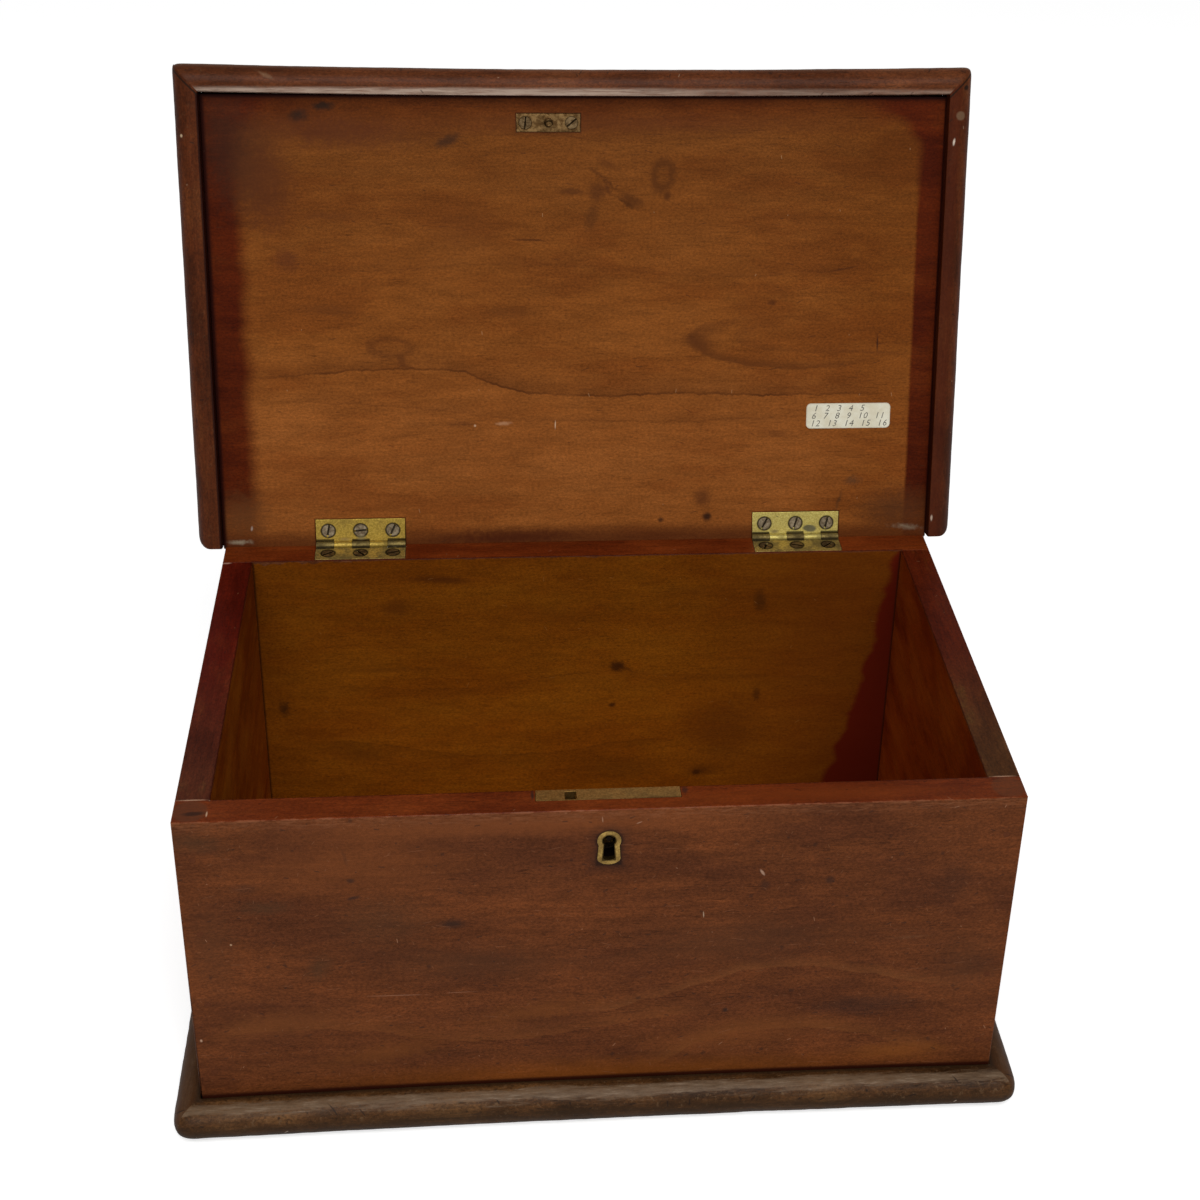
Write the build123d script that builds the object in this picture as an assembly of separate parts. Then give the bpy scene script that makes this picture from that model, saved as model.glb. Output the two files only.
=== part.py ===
from build123d import *
import os
from math import sqrt

# Desk letter box: an open-topped board carcase with a moulded base, a moulded lid on two butt hinges
# that stops just past upright, and a box lock that holds a link on the lid.
# Millimetres. X runs along the front, Y from front to back, Z up. The origin is the centre of the base.

# ---------------------------------------------------------------- driving dimensions
# carcase
case_width = 372.0
case_depth = 234.0
rim_height = 176.0
front_thick = 15.5
back_thick = 17.0
side_thick = 15.0
bottom_thick = 12.0
edge_ease = 0.8

# moulding stock, the same on the base and on the lid
moulding_height = 16.5
moulding_reach = 12.5
lip_bevel_width = 3.9
lip_bevel_height = 1.2

# lid
panel_thick = 10.0
lip_depth = 6.5
lip_clearance = 1.0
lid_gap = 0.2
open_angle = 102.7
stop_gap = 0.1
pin_inset = 1.5
moulding_short = 2.5
moulding_end_radius = 6.0

# butt hinges
hinge_length = 46.5
hinge_from_end = 70.3
leaf_width = 14.2
leaf_thick = 1.3
barrel_radius = 2.2
hinge_pin_radius = 1.0
knuckle_count = 5
knuckle_gap = 0.2
hinge_screw_pitch = 16.8
hinge_screw_inset = 6.2
hinge_screw_head = 7.5
hinge_screw_shank = 3.6
case_screw_length = 12.5
lid_screw_length = 8.8

# box lock
lock_x = 0.8
selvedge_length = 63.5
selvedge_width = 7.6
selvedge_thick = 2.0
lock_plate_height = 38.0
lock_plate_thick = 1.5
lock_case_length = 57.6
lock_case_height = 28.0
lock_case_set_in = 0.5
lock_case_wall = 1.2
lock_screw_head = 5.4
lock_screw_shank = 2.8
lock_screw_length = 9.0
lock_screw_pitch = 24.0
link_hole_x = -16.5
link_hole_width = 5.2
link_hole_depth = 5.6

# bolt inside the lock
bolt_travel = 4.2
bolt_drop = 1.6
bolt_height = 8.4
bolt_left_play = 0.6
bolt_right_play = 3.4
bolt_side_play = 0.2
nose_thick = 1.5
nose_height = 2.4
nose_drop = 4.3
talon_width = 5.4
talon_height = 5.4
rail_height = 2.2
spring_thick = 0.5
spring_width = 3.0
spring_length = 20.0

# keyhole, its pin and its escutcheon
keyhole_drop = 16.9
keyhole_radius = 2.85
keyhole_length = 10.6
keyhole_waist = 4.0
keyhole_foot = 5.4
keyhole_foot_bow = 0.9
drill_pin_radius = 1.2
drill_pin_setback = 1.5
escutcheon_rim = 2.4
escutcheon_thick = 2.5

# link and its plate, let into the lid
link_plate_length = 32.0
link_plate_width = 9.0
link_plate_thick = 1.6
link_plate_set_back = 0.8
link_radius = 1.85
link_reach = 8.5
link_eye_height = 3.2
link_eye_width = 1.9
link_screw_pitch = 23.2
link_screw_head = 6.0
link_screw_shank = 2.8
link_screw_length = 8.0
link_tip_round = 0.5

# paper label on the underside of the lid
label_length = 45.0
label_width = 13.6
label_thick = 0.2
label_radius = 2.4
label_from_end = 43.7
label_from_pin = 67.1

# slotted screws, as shares of the head's or the shank's diameter
slot_width_share = 0.14
slot_length_share = 1.2
screw_tip_share = 0.15

# the turn of each screw's slot in degrees, from left to right
case_slot_angles = {"left": (35, -50, 15), "right": (70, -20, 40)}
lid_slot_angles = {"left": (80, 5, 66), "right": (63, 74, 78)}
lock_slot_angles = (20, 75, -35)
link_slot_angles = (84, 40)

# nails
nail_radius = 0.9
nail_head_radius = 1.5
nail_head_thick = 1.0
corner_nail_length = 42.0
corner_nail_count = 4
bottom_nail_length = 34.0
bottom_nail_pitch = 70.0
brad_radius = 0.7
brad_length = 24.0
brad_pitch = 100.0
side_brad_pitch = 80.0
row_margin = 30.0

# fits
hole_clearance = 0.05
seat_clearance = 0.1
running_clearance = 0.3

# how far a cutter runs past the face it cuts, and how near a face an arris has to be to be eased
overrun = 1.0
arris_near = 0.1

# ---------------------------------------------------------------- derived places
half_width = case_width / 2
front_y = -case_depth / 2
back_y = case_depth / 2
pin_y = back_y - pin_inset
pin_z = rim_height + lid_gap / 2
lid_z = rim_height + lid_gap
lid_half_width = half_width + lip_clearance
lid_front_y = front_y - lip_clearance
nose_radius = moulding_height / 2
wall_height = rim_height - bottom_thick
front_inner_y = front_y + front_thick
back_inner_y = back_y - back_thick
selvedge_y = front_inner_y - selvedge_width
lock_plate_y = front_inner_y - lock_plate_thick
lock_case_y = selvedge_y + lock_case_set_in
lock_middle_z = rim_height - selvedge_thick
bolt_front_y = lock_case_y + lock_case_wall + bolt_side_play
bolt_back_y = lock_plate_y - bolt_side_play
bolt_top_z = lock_middle_z - bolt_drop
bolt_bottom_z = bolt_top_z - bolt_height
link_y = (bolt_front_y + bolt_back_y) / 2
link_x = lock_x + link_hole_x
link_plate_y = link_y + link_plate_set_back
keyhole_z = rim_height - keyhole_drop
far = 2 * case_width


# ---------------------------------------------------------------- small builders
def block(x0, x1, y0, y1, z0, z1):
    """A box given by its two corners."""
    middle = ((x0 + x1) / 2, (y0 + y1) / 2, (z0 + z1) / 2)
    return Pos(*middle) * Box(x1 - x0, y1 - y0, z1 - z0)


def rod_x(radius, x0, x1, y, z):
    """A round bar along X."""
    return Pos((x0 + x1) / 2, y, z) * Rot(0, 90, 0) * Cylinder(radius, x1 - x0)


def rod_y(radius, y0, y1, x, z):
    """A round bar along Y."""
    return Pos(x, (y0 + y1) / 2, z) * Rot(90, 0, 0) * Cylinder(radius, y1 - y0)


def spread(count, pitch):
    """Evenly spaced places about zero."""
    return [(i - (count - 1) / 2) * pitch for i in range(count)]


def fitting_count(length, pitch):
    """How many evenly pitched fasteners fit on a length."""
    return max(2, int(length // pitch) + 1)


def screw(head_diameter, shank_diameter, length, slot_angle):
    """A slotted countersunk wood screw with its head's face at z = 0, pointing down."""
    head_radius = head_diameter / 2
    shank_radius = shank_diameter / 2
    head_depth = head_radius - shank_radius
    point_length = shank_diameter
    tip_radius = shank_radius * screw_tip_share
    body = Pos(0, 0, -head_depth / 2) * Cone(shank_radius, head_radius, head_depth)
    straight = length - head_depth - point_length
    body += Pos(0, 0, -head_depth - straight / 2) * Cylinder(shank_radius, straight)
    body += Pos(0, 0, -length + point_length / 2) * Cone(tip_radius, shank_radius, point_length)
    slot = Box(head_diameter * slot_length_share, head_diameter * slot_width_share, head_depth)
    return body - Rot(0, 0, slot_angle) * slot


def screw_hole(head_diameter, shank_diameter, length):
    """The countersink and pilot hole that take such a screw."""
    head_radius = head_diameter / 2 + hole_clearance
    shank_radius = shank_diameter / 2 + hole_clearance
    head_depth = head_radius - shank_radius
    cutter = Pos(0, 0, -head_depth / 2) * Cone(shank_radius, head_radius, head_depth)
    cutter += Pos(0, 0, -length / 2) * Cylinder(shank_radius, length + hole_clearance)
    return cutter


def nail(length, grow=0.0):
    """A nail with its head's face at z = 0, pointing down, or with grow its hole."""
    shank = Pos(0, 0, -length / 2) * Cylinder(nail_radius + grow, length)
    head = Pos(0, 0, -nail_head_thick / 2) * Cylinder(nail_head_radius + grow, nail_head_thick)
    return shank + head


def brad(length, grow=0.0):
    """A headless pin with its end at z = 0, pointing down, or with grow its hole."""
    return Pos(0, 0, -length / 2) * Cylinder(brad_radius + grow, length)


def opened(shape):
    """Turns a piece of the closed lid about the hinge pins into the open position."""
    return Pos(0, pin_y, pin_z) * Rot(-open_angle, 0, 0) * Pos(0, -pin_y, -pin_z) * shape


# ---------------------------------------------------------------- fastener places
def hinge_centres():
    """X of the left and right hinge."""
    offset = half_width - hinge_from_end
    return {"left": -offset, "right": offset}


def corner_nail_heights():
    """Heights of the nails down each corner."""
    pitch = wall_height / corner_nail_count
    return [bottom_thick + pitch * (i + 0.5) for i in range(corner_nail_count)]


def corner_nail_places(face_y, into):
    """Locations of the nails driven through the front or the back board into the sides."""
    x = half_width - side_thick / 2
    turn = Rot(90, 0, 0) if into > 0 else Rot(-90, 0, 0)
    return [Pos(sx * x, face_y, z) * turn for sx in (-1, 1) for z in corner_nail_heights()]


def bottom_nail_places():
    """Locations of the nails driven up through the bottom into the walls."""
    up = Rot(180, 0, 0)
    along_x = spread(fitting_count(case_width - 2 * row_margin, bottom_nail_pitch), bottom_nail_pitch)
    along_y = spread(2, bottom_nail_pitch)
    front_row = [Pos(x, front_y + front_thick / 2, 0) * up for x in along_x]
    back_row = [Pos(x, back_y - back_thick / 2, 0) * up for x in along_x]
    side_x = half_width - side_thick / 2
    sides = [Pos(sx * side_x, y, 0) * up for sx in (-1, 1) for y in along_y]
    return front_row + back_row + sides


def nose_reach(height):
    """How far the nose stands out at a height above the moulding's underside."""
    rise = height - nose_radius
    return moulding_reach - nose_radius + sqrt(nose_radius**2 - rise**2)


def brad_places(inner_half_width, inner_front_y, height, level_z):
    """Locations of the brads through the three mouldings, for brads at a height on the nose."""
    reach = nose_reach(height) - 2 * hole_clearance
    x_row = spread(fitting_count(case_width - 2 * row_margin, brad_pitch), brad_pitch)
    y_row = spread(fitting_count(case_depth - 2 * row_margin, side_brad_pitch), side_brad_pitch)
    front = [Pos(x, inner_front_y - reach, level_z) * Rot(90, 0, 0) for x in x_row]
    left = [Pos(-inner_half_width - reach, y, level_z) * Rot(0, -90, 0) for y in y_row]
    right = [Pos(inner_half_width + reach, y, level_z) * Rot(0, 90, 0) for y in y_row]
    return {"front": front, "left": left, "right": right}


def base_brads():
    """The brad places of the base mouldings, driven into the edge of the bottom board."""
    level = bottom_thick / 2
    return brad_places(half_width, front_y, level, level)


def lid_brads():
    """The brad places of the lid mouldings, driven into the edges of the panel."""
    level = lid_z + panel_thick / 2
    return brad_places(lid_half_width, lid_front_y, lip_depth + panel_thick / 2, level)


def hinge_screw_places(centre_x, z, turn):
    """Locations of one leaf's three screws."""
    y = pin_y - leaf_width + hinge_screw_inset
    return [Pos(centre_x + dx, y, z) * turn for dx in spread(3, hinge_screw_pitch)]


def link_screw_places():
    """Locations of the two screws of the link plate, pointing up into the closed lid."""
    return [Pos(link_x + dx, link_plate_y, lid_z) * Rot(180, 0, 0) for dx in spread(2, link_screw_pitch)]


def lock_screw_places():
    """Locations of the screws in the margin below the lock's case, pointing towards the front."""
    case_foot_z = lock_middle_z - lock_case_height
    z = (case_foot_z + rim_height - lock_plate_height) / 2
    return [Pos(lock_x + dx, front_inner_y, z) * Rot(-90, 0, 0) for dx in spread(3, lock_screw_pitch)]


def cut_at(shape, cutter, places):
    """Cuts one cutter out of a shape at several places."""
    for place in places:
        shape -= place * cutter
    return shape


def group(solid_at):
    """Separate solids kept together as one node."""
    return Compound(children=list(solid_at))


# ---------------------------------------------------------------- mouldings
def moulding_face(bevelled):
    """The moulding's section, its back on x = 0 and its nose towards -x."""
    flat = moulding_reach - nose_radius
    bevel_foot = min(lip_bevel_width, flat - hole_clearance)
    foot = [(0, lip_bevel_height), (-bevel_foot, 0)] if bevelled else [(0, 0)]
    edges = Polyline((0, moulding_height), *foot, (-flat, 0))
    nose = ThreePointArc((-flat, 0), (-moulding_reach, nose_radius), (-flat, moulding_height))
    top = Line((-flat, moulding_height), (0, moulding_height))
    return make_face(edges + nose + top)


def moulding_bar(bevelled):
    """A long straight length of moulding along X with its nose towards the front."""
    return extrude(Plane.YZ * moulding_face(bevelled), amount=far / 2, both=True)


def plan_prism(points, z):
    """A prism over a plan outline, as tall as a moulding."""
    outline = make_face(Polyline(*points, close=True))
    return extrude(Pos(0, 0, z) * outline, amount=moulding_height)


def front_moulding(inner_half_width, inner_front_y, z, bevelled):
    """The front length, mitred at both ends."""
    a = inner_half_width
    b = inner_half_width + moulding_reach
    y1 = inner_front_y - moulding_reach
    plan = [(-a, inner_front_y), (a, inner_front_y), (b, y1), (-b, y1)]
    return (Pos(0, inner_front_y, z) * moulding_bar(bevelled)) & plan_prism(plan, z)


def side_moulding(side, inner_half_width, inner_front_y, end_y, z, bevelled):
    """A side length, mitred at the front and square at the rear."""
    a = side * inner_half_width
    b = side * (inner_half_width + moulding_reach)
    plan = [(a, inner_front_y), (b, inner_front_y - moulding_reach), (b, end_y), (a, end_y)]
    bar = Pos(a, 0, z) * Rot(0, 0, side * 90) * moulding_bar(bevelled)
    return bar & plan_prism(plan, z)


def round_rear_corner(shape, side, inner_half_width, end_y, z):
    """Rounds the outer rear corner of a side moulding as seen from above."""
    r = moulding_end_radius
    outer_x = side * (inner_half_width + moulding_reach)
    corner = block(-r, r, -r, r, 0, moulding_height)
    corner = Pos(outer_x, end_y, z) * corner
    round_post = Pos(outer_x - side * r, end_y - r, z + moulding_height / 2) * Cylinder(r, moulding_height)
    return shape - (corner - round_post)


def base_moulding(name):
    """One of the three mouldings round the foot of the carcase."""
    if name == "front":
        shape = front_moulding(half_width, front_y, 0, False)
    else:
        side = -1 if name == "left" else 1
        shape = side_moulding(side, half_width, front_y, back_y, 0, False)
    return cut_at(shape, brad(brad_length, hole_clearance), base_brads()[name])


def lid_moulding(name):
    """One of the three mouldings of the closed lid, whose lower part is the lip."""
    z = lid_z - lip_depth
    end_y = back_y - moulding_short
    if name == "front":
        shape = front_moulding(lid_half_width, lid_front_y, z, True)
    else:
        side = -1 if name == "left" else 1
        shape = side_moulding(side, lid_half_width, lid_front_y, end_y, z, True)
        shape = round_rear_corner(shape, side, lid_half_width, end_y, z)
    return cut_at(shape, brad(brad_length, hole_clearance), lid_brads()[name])


# ---------------------------------------------------------------- keyhole and lock
def keyhole_face(grow):
    """The keyhole's outline in X and Z about its round eye, grown by a margin."""
    eye = Circle(keyhole_radius)
    top = keyhole_waist / 2
    foot = keyhole_foot / 2
    low = keyhole_foot_bow - keyhole_length
    sides = Polyline((-foot, low), (-top, 0), (top, 0), (foot, low))
    skirt = make_face(sides + ThreePointArc((foot, low), (0, -keyhole_length), (-foot, low)))
    outline = eye + skirt
    return offset(outline, grow, kind=Kind.ARC) if grow > 0 else outline


def keyhole_prism(grow, y0, y1):
    """The keyhole's shape as a prism from y0 back to y1."""
    plane = Plane(origin=(lock_x, y0, keyhole_z), x_dir=(1, 0, 0), z_dir=(0, -1, 0))
    return extrude(plane * keyhole_face(grow), amount=-(y1 - y0))


def keyhole_escutcheon():
    """The brass liner let in flush round the keyhole."""
    y1 = front_y + escutcheon_thick
    return keyhole_prism(escutcheon_rim, front_y, y1) - keyhole_prism(0, front_y - overrun, y1 + overrun)


def lock_plate():
    """The lock's selvedge and back plate, bent from one brass sheet, with the link hole."""
    x0 = lock_x - selvedge_length / 2
    x1 = lock_x + selvedge_length / 2
    shape = block(x0, x1, selvedge_y, front_inner_y, lock_middle_z, rim_height)
    shape += block(x0, x1, lock_plate_y, front_inner_y, rim_height - lock_plate_height, lock_middle_z)
    w = link_hole_width / 2
    d = min(link_hole_depth, lock_plate_y - selvedge_y) / 2
    hole_y = min(link_y, lock_plate_y - d)
    z0 = lock_middle_z - overrun
    shape -= block(link_x - w, link_x + w, hole_y - d, hole_y + d, z0, rim_height + overrun)
    shape -= rod_y(drill_pin_radius, lock_plate_y - overrun, front_inner_y + overrun, lock_x, keyhole_z)
    hole = screw_hole(lock_screw_head, lock_screw_shank, lock_screw_length)
    return cut_at(shape, hole, lock_screw_places())


def lock_case():
    """The lock's cap: a shallow tray over the works, with two rails that carry the bolt."""
    half = lock_case_length / 2
    z0 = lock_middle_z - lock_case_height
    outer = block(lock_x - half, lock_x + half, lock_case_y, lock_plate_y, z0, lock_middle_z)
    wall = lock_case_wall
    inner_x = half - wall
    inner_y = lock_case_y + wall
    inner = block(lock_x - inner_x, lock_x + inner_x, inner_y, lock_plate_y, z0 + wall, lock_middle_z)
    shape = outer - inner
    rail_z = bolt_bottom_z - bolt_side_play
    sweep = keyhole_length - overrun
    for side in (-1, 1):
        ends = sorted((lock_x + side * sweep, lock_x + side * inner_x))
        shape += block(*ends, inner_y, lock_plate_y, rail_z - rail_height, rail_z)
    return shape - keyhole_prism(0, lock_case_y - overrun, inner_y + overrun)


def lock_bolt():
    """The sliding bolt: a bar with a pocket for the link, a nose and a notch for the key."""
    room = lock_case_length / 2 - lock_case_wall
    x0 = lock_x - room + bolt_left_play
    x1 = lock_x + room - bolt_travel - bolt_right_play
    shape = block(x0, x1, bolt_front_y, bolt_back_y, bolt_bottom_z, bolt_top_z)
    tip_x = link_x - link_radius - running_clearance
    root_x = tip_x - bolt_travel - running_clearance
    pocket_x = link_x + link_radius + 2 * running_clearance
    pocket_z = lid_z - link_reach - 2 * running_clearance
    y0 = bolt_front_y - overrun
    y1 = bolt_back_y + overrun
    shape -= block(root_x, pocket_x, y0, y1, pocket_z, bolt_top_z + overrun)
    half = nose_thick / 2
    nose_z = rim_height - nose_drop
    shape += block(root_x, tip_x, link_y - half, link_y + half, nose_z - nose_height, nose_z)
    w = talon_width / 2
    top = bolt_bottom_z + talon_height
    return shape - block(lock_x - w, lock_x + w, y0, y1, bolt_bottom_z - overrun, top)


def drill_pin():
    """The fixed pin that centres the key, riveted in the lock's plate."""
    return rod_y(drill_pin_radius, front_y + drill_pin_setback, front_inner_y, lock_x, keyhole_z)


def bolt_spring():
    """A bowed leaf spring between the selvedge and the bolt."""
    x1 = lock_x + lock_case_length / 2 - lock_case_wall
    x0 = x1 - spring_length
    low = bolt_top_z + bolt_side_play
    high = lock_middle_z
    middle = (x0 + x1) / 2
    upper = ThreePointArc((x0, high), (middle, low + spring_thick), (x1, high))
    lower = ThreePointArc((x1, high - spring_thick), (middle, low), (x0, high - spring_thick))
    ends = Line((x1, high), (x1, high - spring_thick)) + Line((x0, high - spring_thick), (x0, high))
    face = make_face(upper + lower + ends)
    plane = Plane(origin=(0, link_y, 0), x_dir=(1, 0, 0), z_dir=(0, -1, 0))
    return extrude(plane * face, amount=spring_width / 2, both=True)


def link():
    """The round link riveted in its plate, with an eye for the bolt's nose."""
    shape = Pos(link_x, link_y, lid_z + (link_plate_thick - link_reach) / 2) * Cylinder(
        link_radius, link_plate_thick + link_reach
    )
    shape = fillet(shape.edges().sort_by(Axis.Z)[0], link_tip_round)
    half = link_eye_width / 2
    eye_z = rim_height - nose_drop - nose_height / 2
    w = link_eye_height / 2
    return shape - block(link_x - far, link_x + far, link_y - half, link_y + half, eye_z - w, eye_z + w)


def link_plate():
    """The plate that holds the link, let in flush with the lid's underside."""
    half = link_plate_length / 2
    w = link_plate_width / 2
    shape = block(
        link_x - half, link_x + half, link_plate_y - w, link_plate_y + w, lid_z, lid_z + link_plate_thick
    )
    shape -= Pos(link_x, link_y, lid_z) * Cylinder(link_radius, 2 * link_plate_thick + overrun)
    hole = screw_hole(link_screw_head, link_screw_shank, link_screw_length)
    return cut_at(shape, hole, link_screw_places())


# ---------------------------------------------------------------- hinges
def knuckle_spans(centre_x):
    """The X span of each knuckle of a hinge, from left to right."""
    pitch = hinge_length / knuckle_count
    x0 = centre_x - hinge_length / 2
    half_gap = knuckle_gap / 2
    spans = []
    for i in range(knuckle_count):
        low = x0 + i * pitch + (half_gap if i > 0 else 0)
        high = x0 + (i + 1) * pitch - (half_gap if i < knuckle_count - 1 else 0)
        spans.append((low, high))
    return spans


def hinge_leaf(centre_x, on_lid):
    """One leaf with its own knuckles; the lid's leaf has the even ones."""
    x0 = centre_x - hinge_length / 2
    x1 = centre_x + hinge_length / 2
    face_z = lid_z if on_lid else rim_height
    back_z = face_z + leaf_thick if on_lid else face_z - leaf_thick
    z0, z1 = sorted((face_z, back_z))
    shape = block(x0, x1, pin_y - leaf_width, pin_y, z0, z1)
    bore = hinge_pin_radius + (hole_clearance if on_lid else 0)
    room = barrel_radius + running_clearance
    for i, (low, high) in enumerate(knuckle_spans(centre_x)):
        if (i % 2 == 1) == on_lid:
            shape += rod_x(barrel_radius, low, high, pin_y, pin_z)
        else:
            gap_low = low - (knuckle_gap if i > 0 else overrun)
            gap_high = high + (knuckle_gap if i < knuckle_count - 1 else overrun)
            shape -= block(gap_low, gap_high, pin_y - room, pin_y + room, z0 - overrun, z1 + overrun)
    shape -= rod_x(bore, x0 - overrun, x1 + overrun, pin_y, pin_z)
    turn = Rot(180, 0, 0) if on_lid else Rot(0, 0, 0)
    length = lid_screw_length if on_lid else case_screw_length
    hole = screw_hole(hinge_screw_head, hinge_screw_shank, length)
    return cut_at(shape, hole, hinge_screw_places(centre_x, face_z, turn))


def hinge_pin(centre_x):
    """The pin through the knuckles of one hinge."""
    half = hinge_length / 2
    return rod_x(hinge_pin_radius, centre_x - half, centre_x + half, pin_y, pin_z)


def hinge_room(centre_x, on_lid):
    """What a board loses to one hinge: the leaf's seat, the barrel's groove and the pilot holes."""
    half = hinge_length / 2 + seat_clearance
    face_z = lid_z if on_lid else rim_height
    deep = face_z + leaf_thick if on_lid else face_z - leaf_thick
    z0, z1 = sorted((deep, face_z - overrun if on_lid else face_z + overrun))
    x0 = centre_x - half
    x1 = centre_x + half
    y1 = back_y + overrun
    cutter = block(x0, x1, pin_y - leaf_width - seat_clearance, y1, z0, z1)
    groove = barrel_radius + running_clearance
    cutter += rod_x(groove, x0, x1, pin_y, pin_z)
    z2, z3 = sorted((pin_z, pin_z + groove if on_lid else pin_z - groove))
    cutter += block(x0, x1, pin_y, y1, z2, z3)
    turn = Rot(180, 0, 0) if on_lid else Rot(0, 0, 0)
    length = lid_screw_length if on_lid else case_screw_length
    hole = screw_hole(hinge_screw_head, hinge_screw_shank, length)
    for place in hinge_screw_places(centre_x, face_z, turn):
        cutter += place * hole
    return cutter


def stop_bevel(up):
    """The wedge cut from a rear arris so that the two bevels meet when the lid is open."""
    lean = -open_angle / 2 if up < 0 else open_angle / 2
    reach = 4 * max(back_thick, panel_thick)
    z0, z1 = (0, reach) if up < 0 else (-reach, 0)
    wedge = block(-far / 2, far / 2, 0, reach, z0, z1)
    wedge = Rot(lean, 0, 0) * Pos(0, 0, up * stop_gap / 2) * wedge
    return Pos(0, pin_y, pin_z) * wedge


# ---------------------------------------------------------------- boards
def eased_block(corners, edge_filter):
    """A board whose chosen outer arrises are slightly rounded."""
    shape = block(*corners)
    return fillet([e for e in shape.edges() if edge_filter(e.center())], edge_ease)


def front_board():
    """The front, full width, with the lock's mortise, the keyhole and the escutcheon's seat."""
    corners = (-half_width, half_width, front_y, front_inner_y, bottom_thick, rim_height)

    def outer(c):
        at_side = abs(c.X) > half_width - arris_near
        return c.Y < front_y + arris_near and (at_side or c.Z > rim_height - arris_near)

    shape = eased_block(corners, outer)
    c = seat_clearance
    x0 = lock_x - selvedge_length / 2 - c
    x1 = lock_x + selvedge_length / 2 + c
    half = lock_case_length / 2 + c
    y1 = front_inner_y + overrun
    plate_z = rim_height - lock_plate_height - c
    case_z = lock_middle_z - lock_case_height - c
    shape -= block(x0, x1, selvedge_y, y1, lock_middle_z, rim_height + overrun)
    shape -= block(x0, x1, lock_plate_y, y1, plate_z, rim_height)
    shape -= block(lock_x - half, lock_x + half, lock_case_y - c, y1, case_z, rim_height)
    shape -= keyhole_prism(0, front_y - overrun, lock_case_y + overrun)
    shape -= keyhole_prism(escutcheon_rim, front_y - overrun, front_y + escutcheon_thick)
    shape = cut_at(shape, nail(corner_nail_length, hole_clearance), corner_nail_places(front_y, 1))
    shape = cut_at(shape, nail(bottom_nail_length, hole_clearance), bottom_nail_places())
    hole = screw_hole(lock_screw_head, lock_screw_shank, lock_screw_length)
    return cut_at(shape, hole, lock_screw_places())


def back_board():
    """The back, full width, bevelled at its rear arris and let in for the hinges."""
    corners = (-half_width, half_width, back_inner_y, back_y, bottom_thick, rim_height)

    def outer(c):
        return c.Y > back_y - arris_near and abs(c.X) > half_width - arris_near

    shape = eased_block(corners, outer) - stop_bevel(-1)
    for centre_x in hinge_centres().values():
        shape -= hinge_room(centre_x, False)
    shape = cut_at(shape, nail(corner_nail_length, hole_clearance), corner_nail_places(back_y, -1))
    return cut_at(shape, nail(bottom_nail_length, hole_clearance), bottom_nail_places())


def side_board(side):
    """A side, between the front and the back."""
    x0, x1 = sorted((side * half_width, side * (half_width - side_thick)))
    shape = block(x0, x1, front_inner_y, back_inner_y, bottom_thick, rim_height)
    hole = nail(corner_nail_length, hole_clearance)
    shape = cut_at(shape, hole, corner_nail_places(front_y, 1) + corner_nail_places(back_y, -1))
    return cut_at(shape, nail(bottom_nail_length, hole_clearance), bottom_nail_places())


def bottom_board():
    """The bottom, nailed up under the four walls."""
    shape = block(-half_width, half_width, front_y, back_y, 0, bottom_thick)
    shape = cut_at(shape, nail(bottom_nail_length, hole_clearance), bottom_nail_places())
    pin_hole = brad(brad_length, hole_clearance)
    for places in base_brads().values():
        shape = cut_at(shape, pin_hole, places)
    return shape


def lid_panel():
    """The lid's board, closed, with seats for the hinges and the link plate."""
    shape = block(-lid_half_width, lid_half_width, lid_front_y, back_y, lid_z, lid_z + panel_thick)
    shape -= stop_bevel(1)
    for centre_x in hinge_centres().values():
        shape -= hinge_room(centre_x, True)
    half = link_plate_length / 2 + seat_clearance
    w = link_plate_width / 2 + seat_clearance
    z1 = lid_z + link_plate_thick
    z0 = lid_z - overrun
    shape -= block(link_x - half, link_x + half, link_plate_y - w, link_plate_y + w, z0, z1)
    hole = screw_hole(link_screw_head, link_screw_shank, link_screw_length)
    shape = cut_at(shape, hole, link_screw_places())
    pin_hole = brad(brad_length, hole_clearance)
    for places in lid_brads().values():
        shape = cut_at(shape, pin_hole, places)
    return shape


def paper_label():
    """The small paper label stuck on the underside of the lid."""
    face = RectangleRounded(label_length, label_width, label_radius)
    place = Pos(half_width - label_from_end, pin_y - label_from_pin, lid_z)
    return extrude(place * face, amount=-label_thick)


# ---------------------------------------------------------------- fasteners
def hinge_screws(centre_x, on_lid, slot_angles):
    """The three screws of one leaf."""
    face_z = lid_z if on_lid else rim_height
    turn = Rot(180, 0, 0) if on_lid else Rot(0, 0, 0)
    length = lid_screw_length if on_lid else case_screw_length
    places = hinge_screw_places(centre_x, face_z, turn)
    return group(
        place * screw(hinge_screw_head, hinge_screw_shank, length, angle)
        for place, angle in zip(places, slot_angles)
    )


def lock_screws():
    """The screws of the lock's plate."""
    return group(
        place * screw(lock_screw_head, lock_screw_shank, lock_screw_length, angle)
        for place, angle in zip(lock_screw_places(), lock_slot_angles)
    )


def link_screws():
    """The two screws of the link plate."""
    return group(
        place * screw(link_screw_head, link_screw_shank, link_screw_length, angle)
        for place, angle in zip(link_screw_places(), link_slot_angles)
    )


def nails(places, length):
    """A group of nails."""
    return group(place * nail(length) for place in places)


def brads(places_by_name):
    """A group of brads."""
    return group(place * brad(brad_length) for places in places_by_name.values() for place in places)


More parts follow.
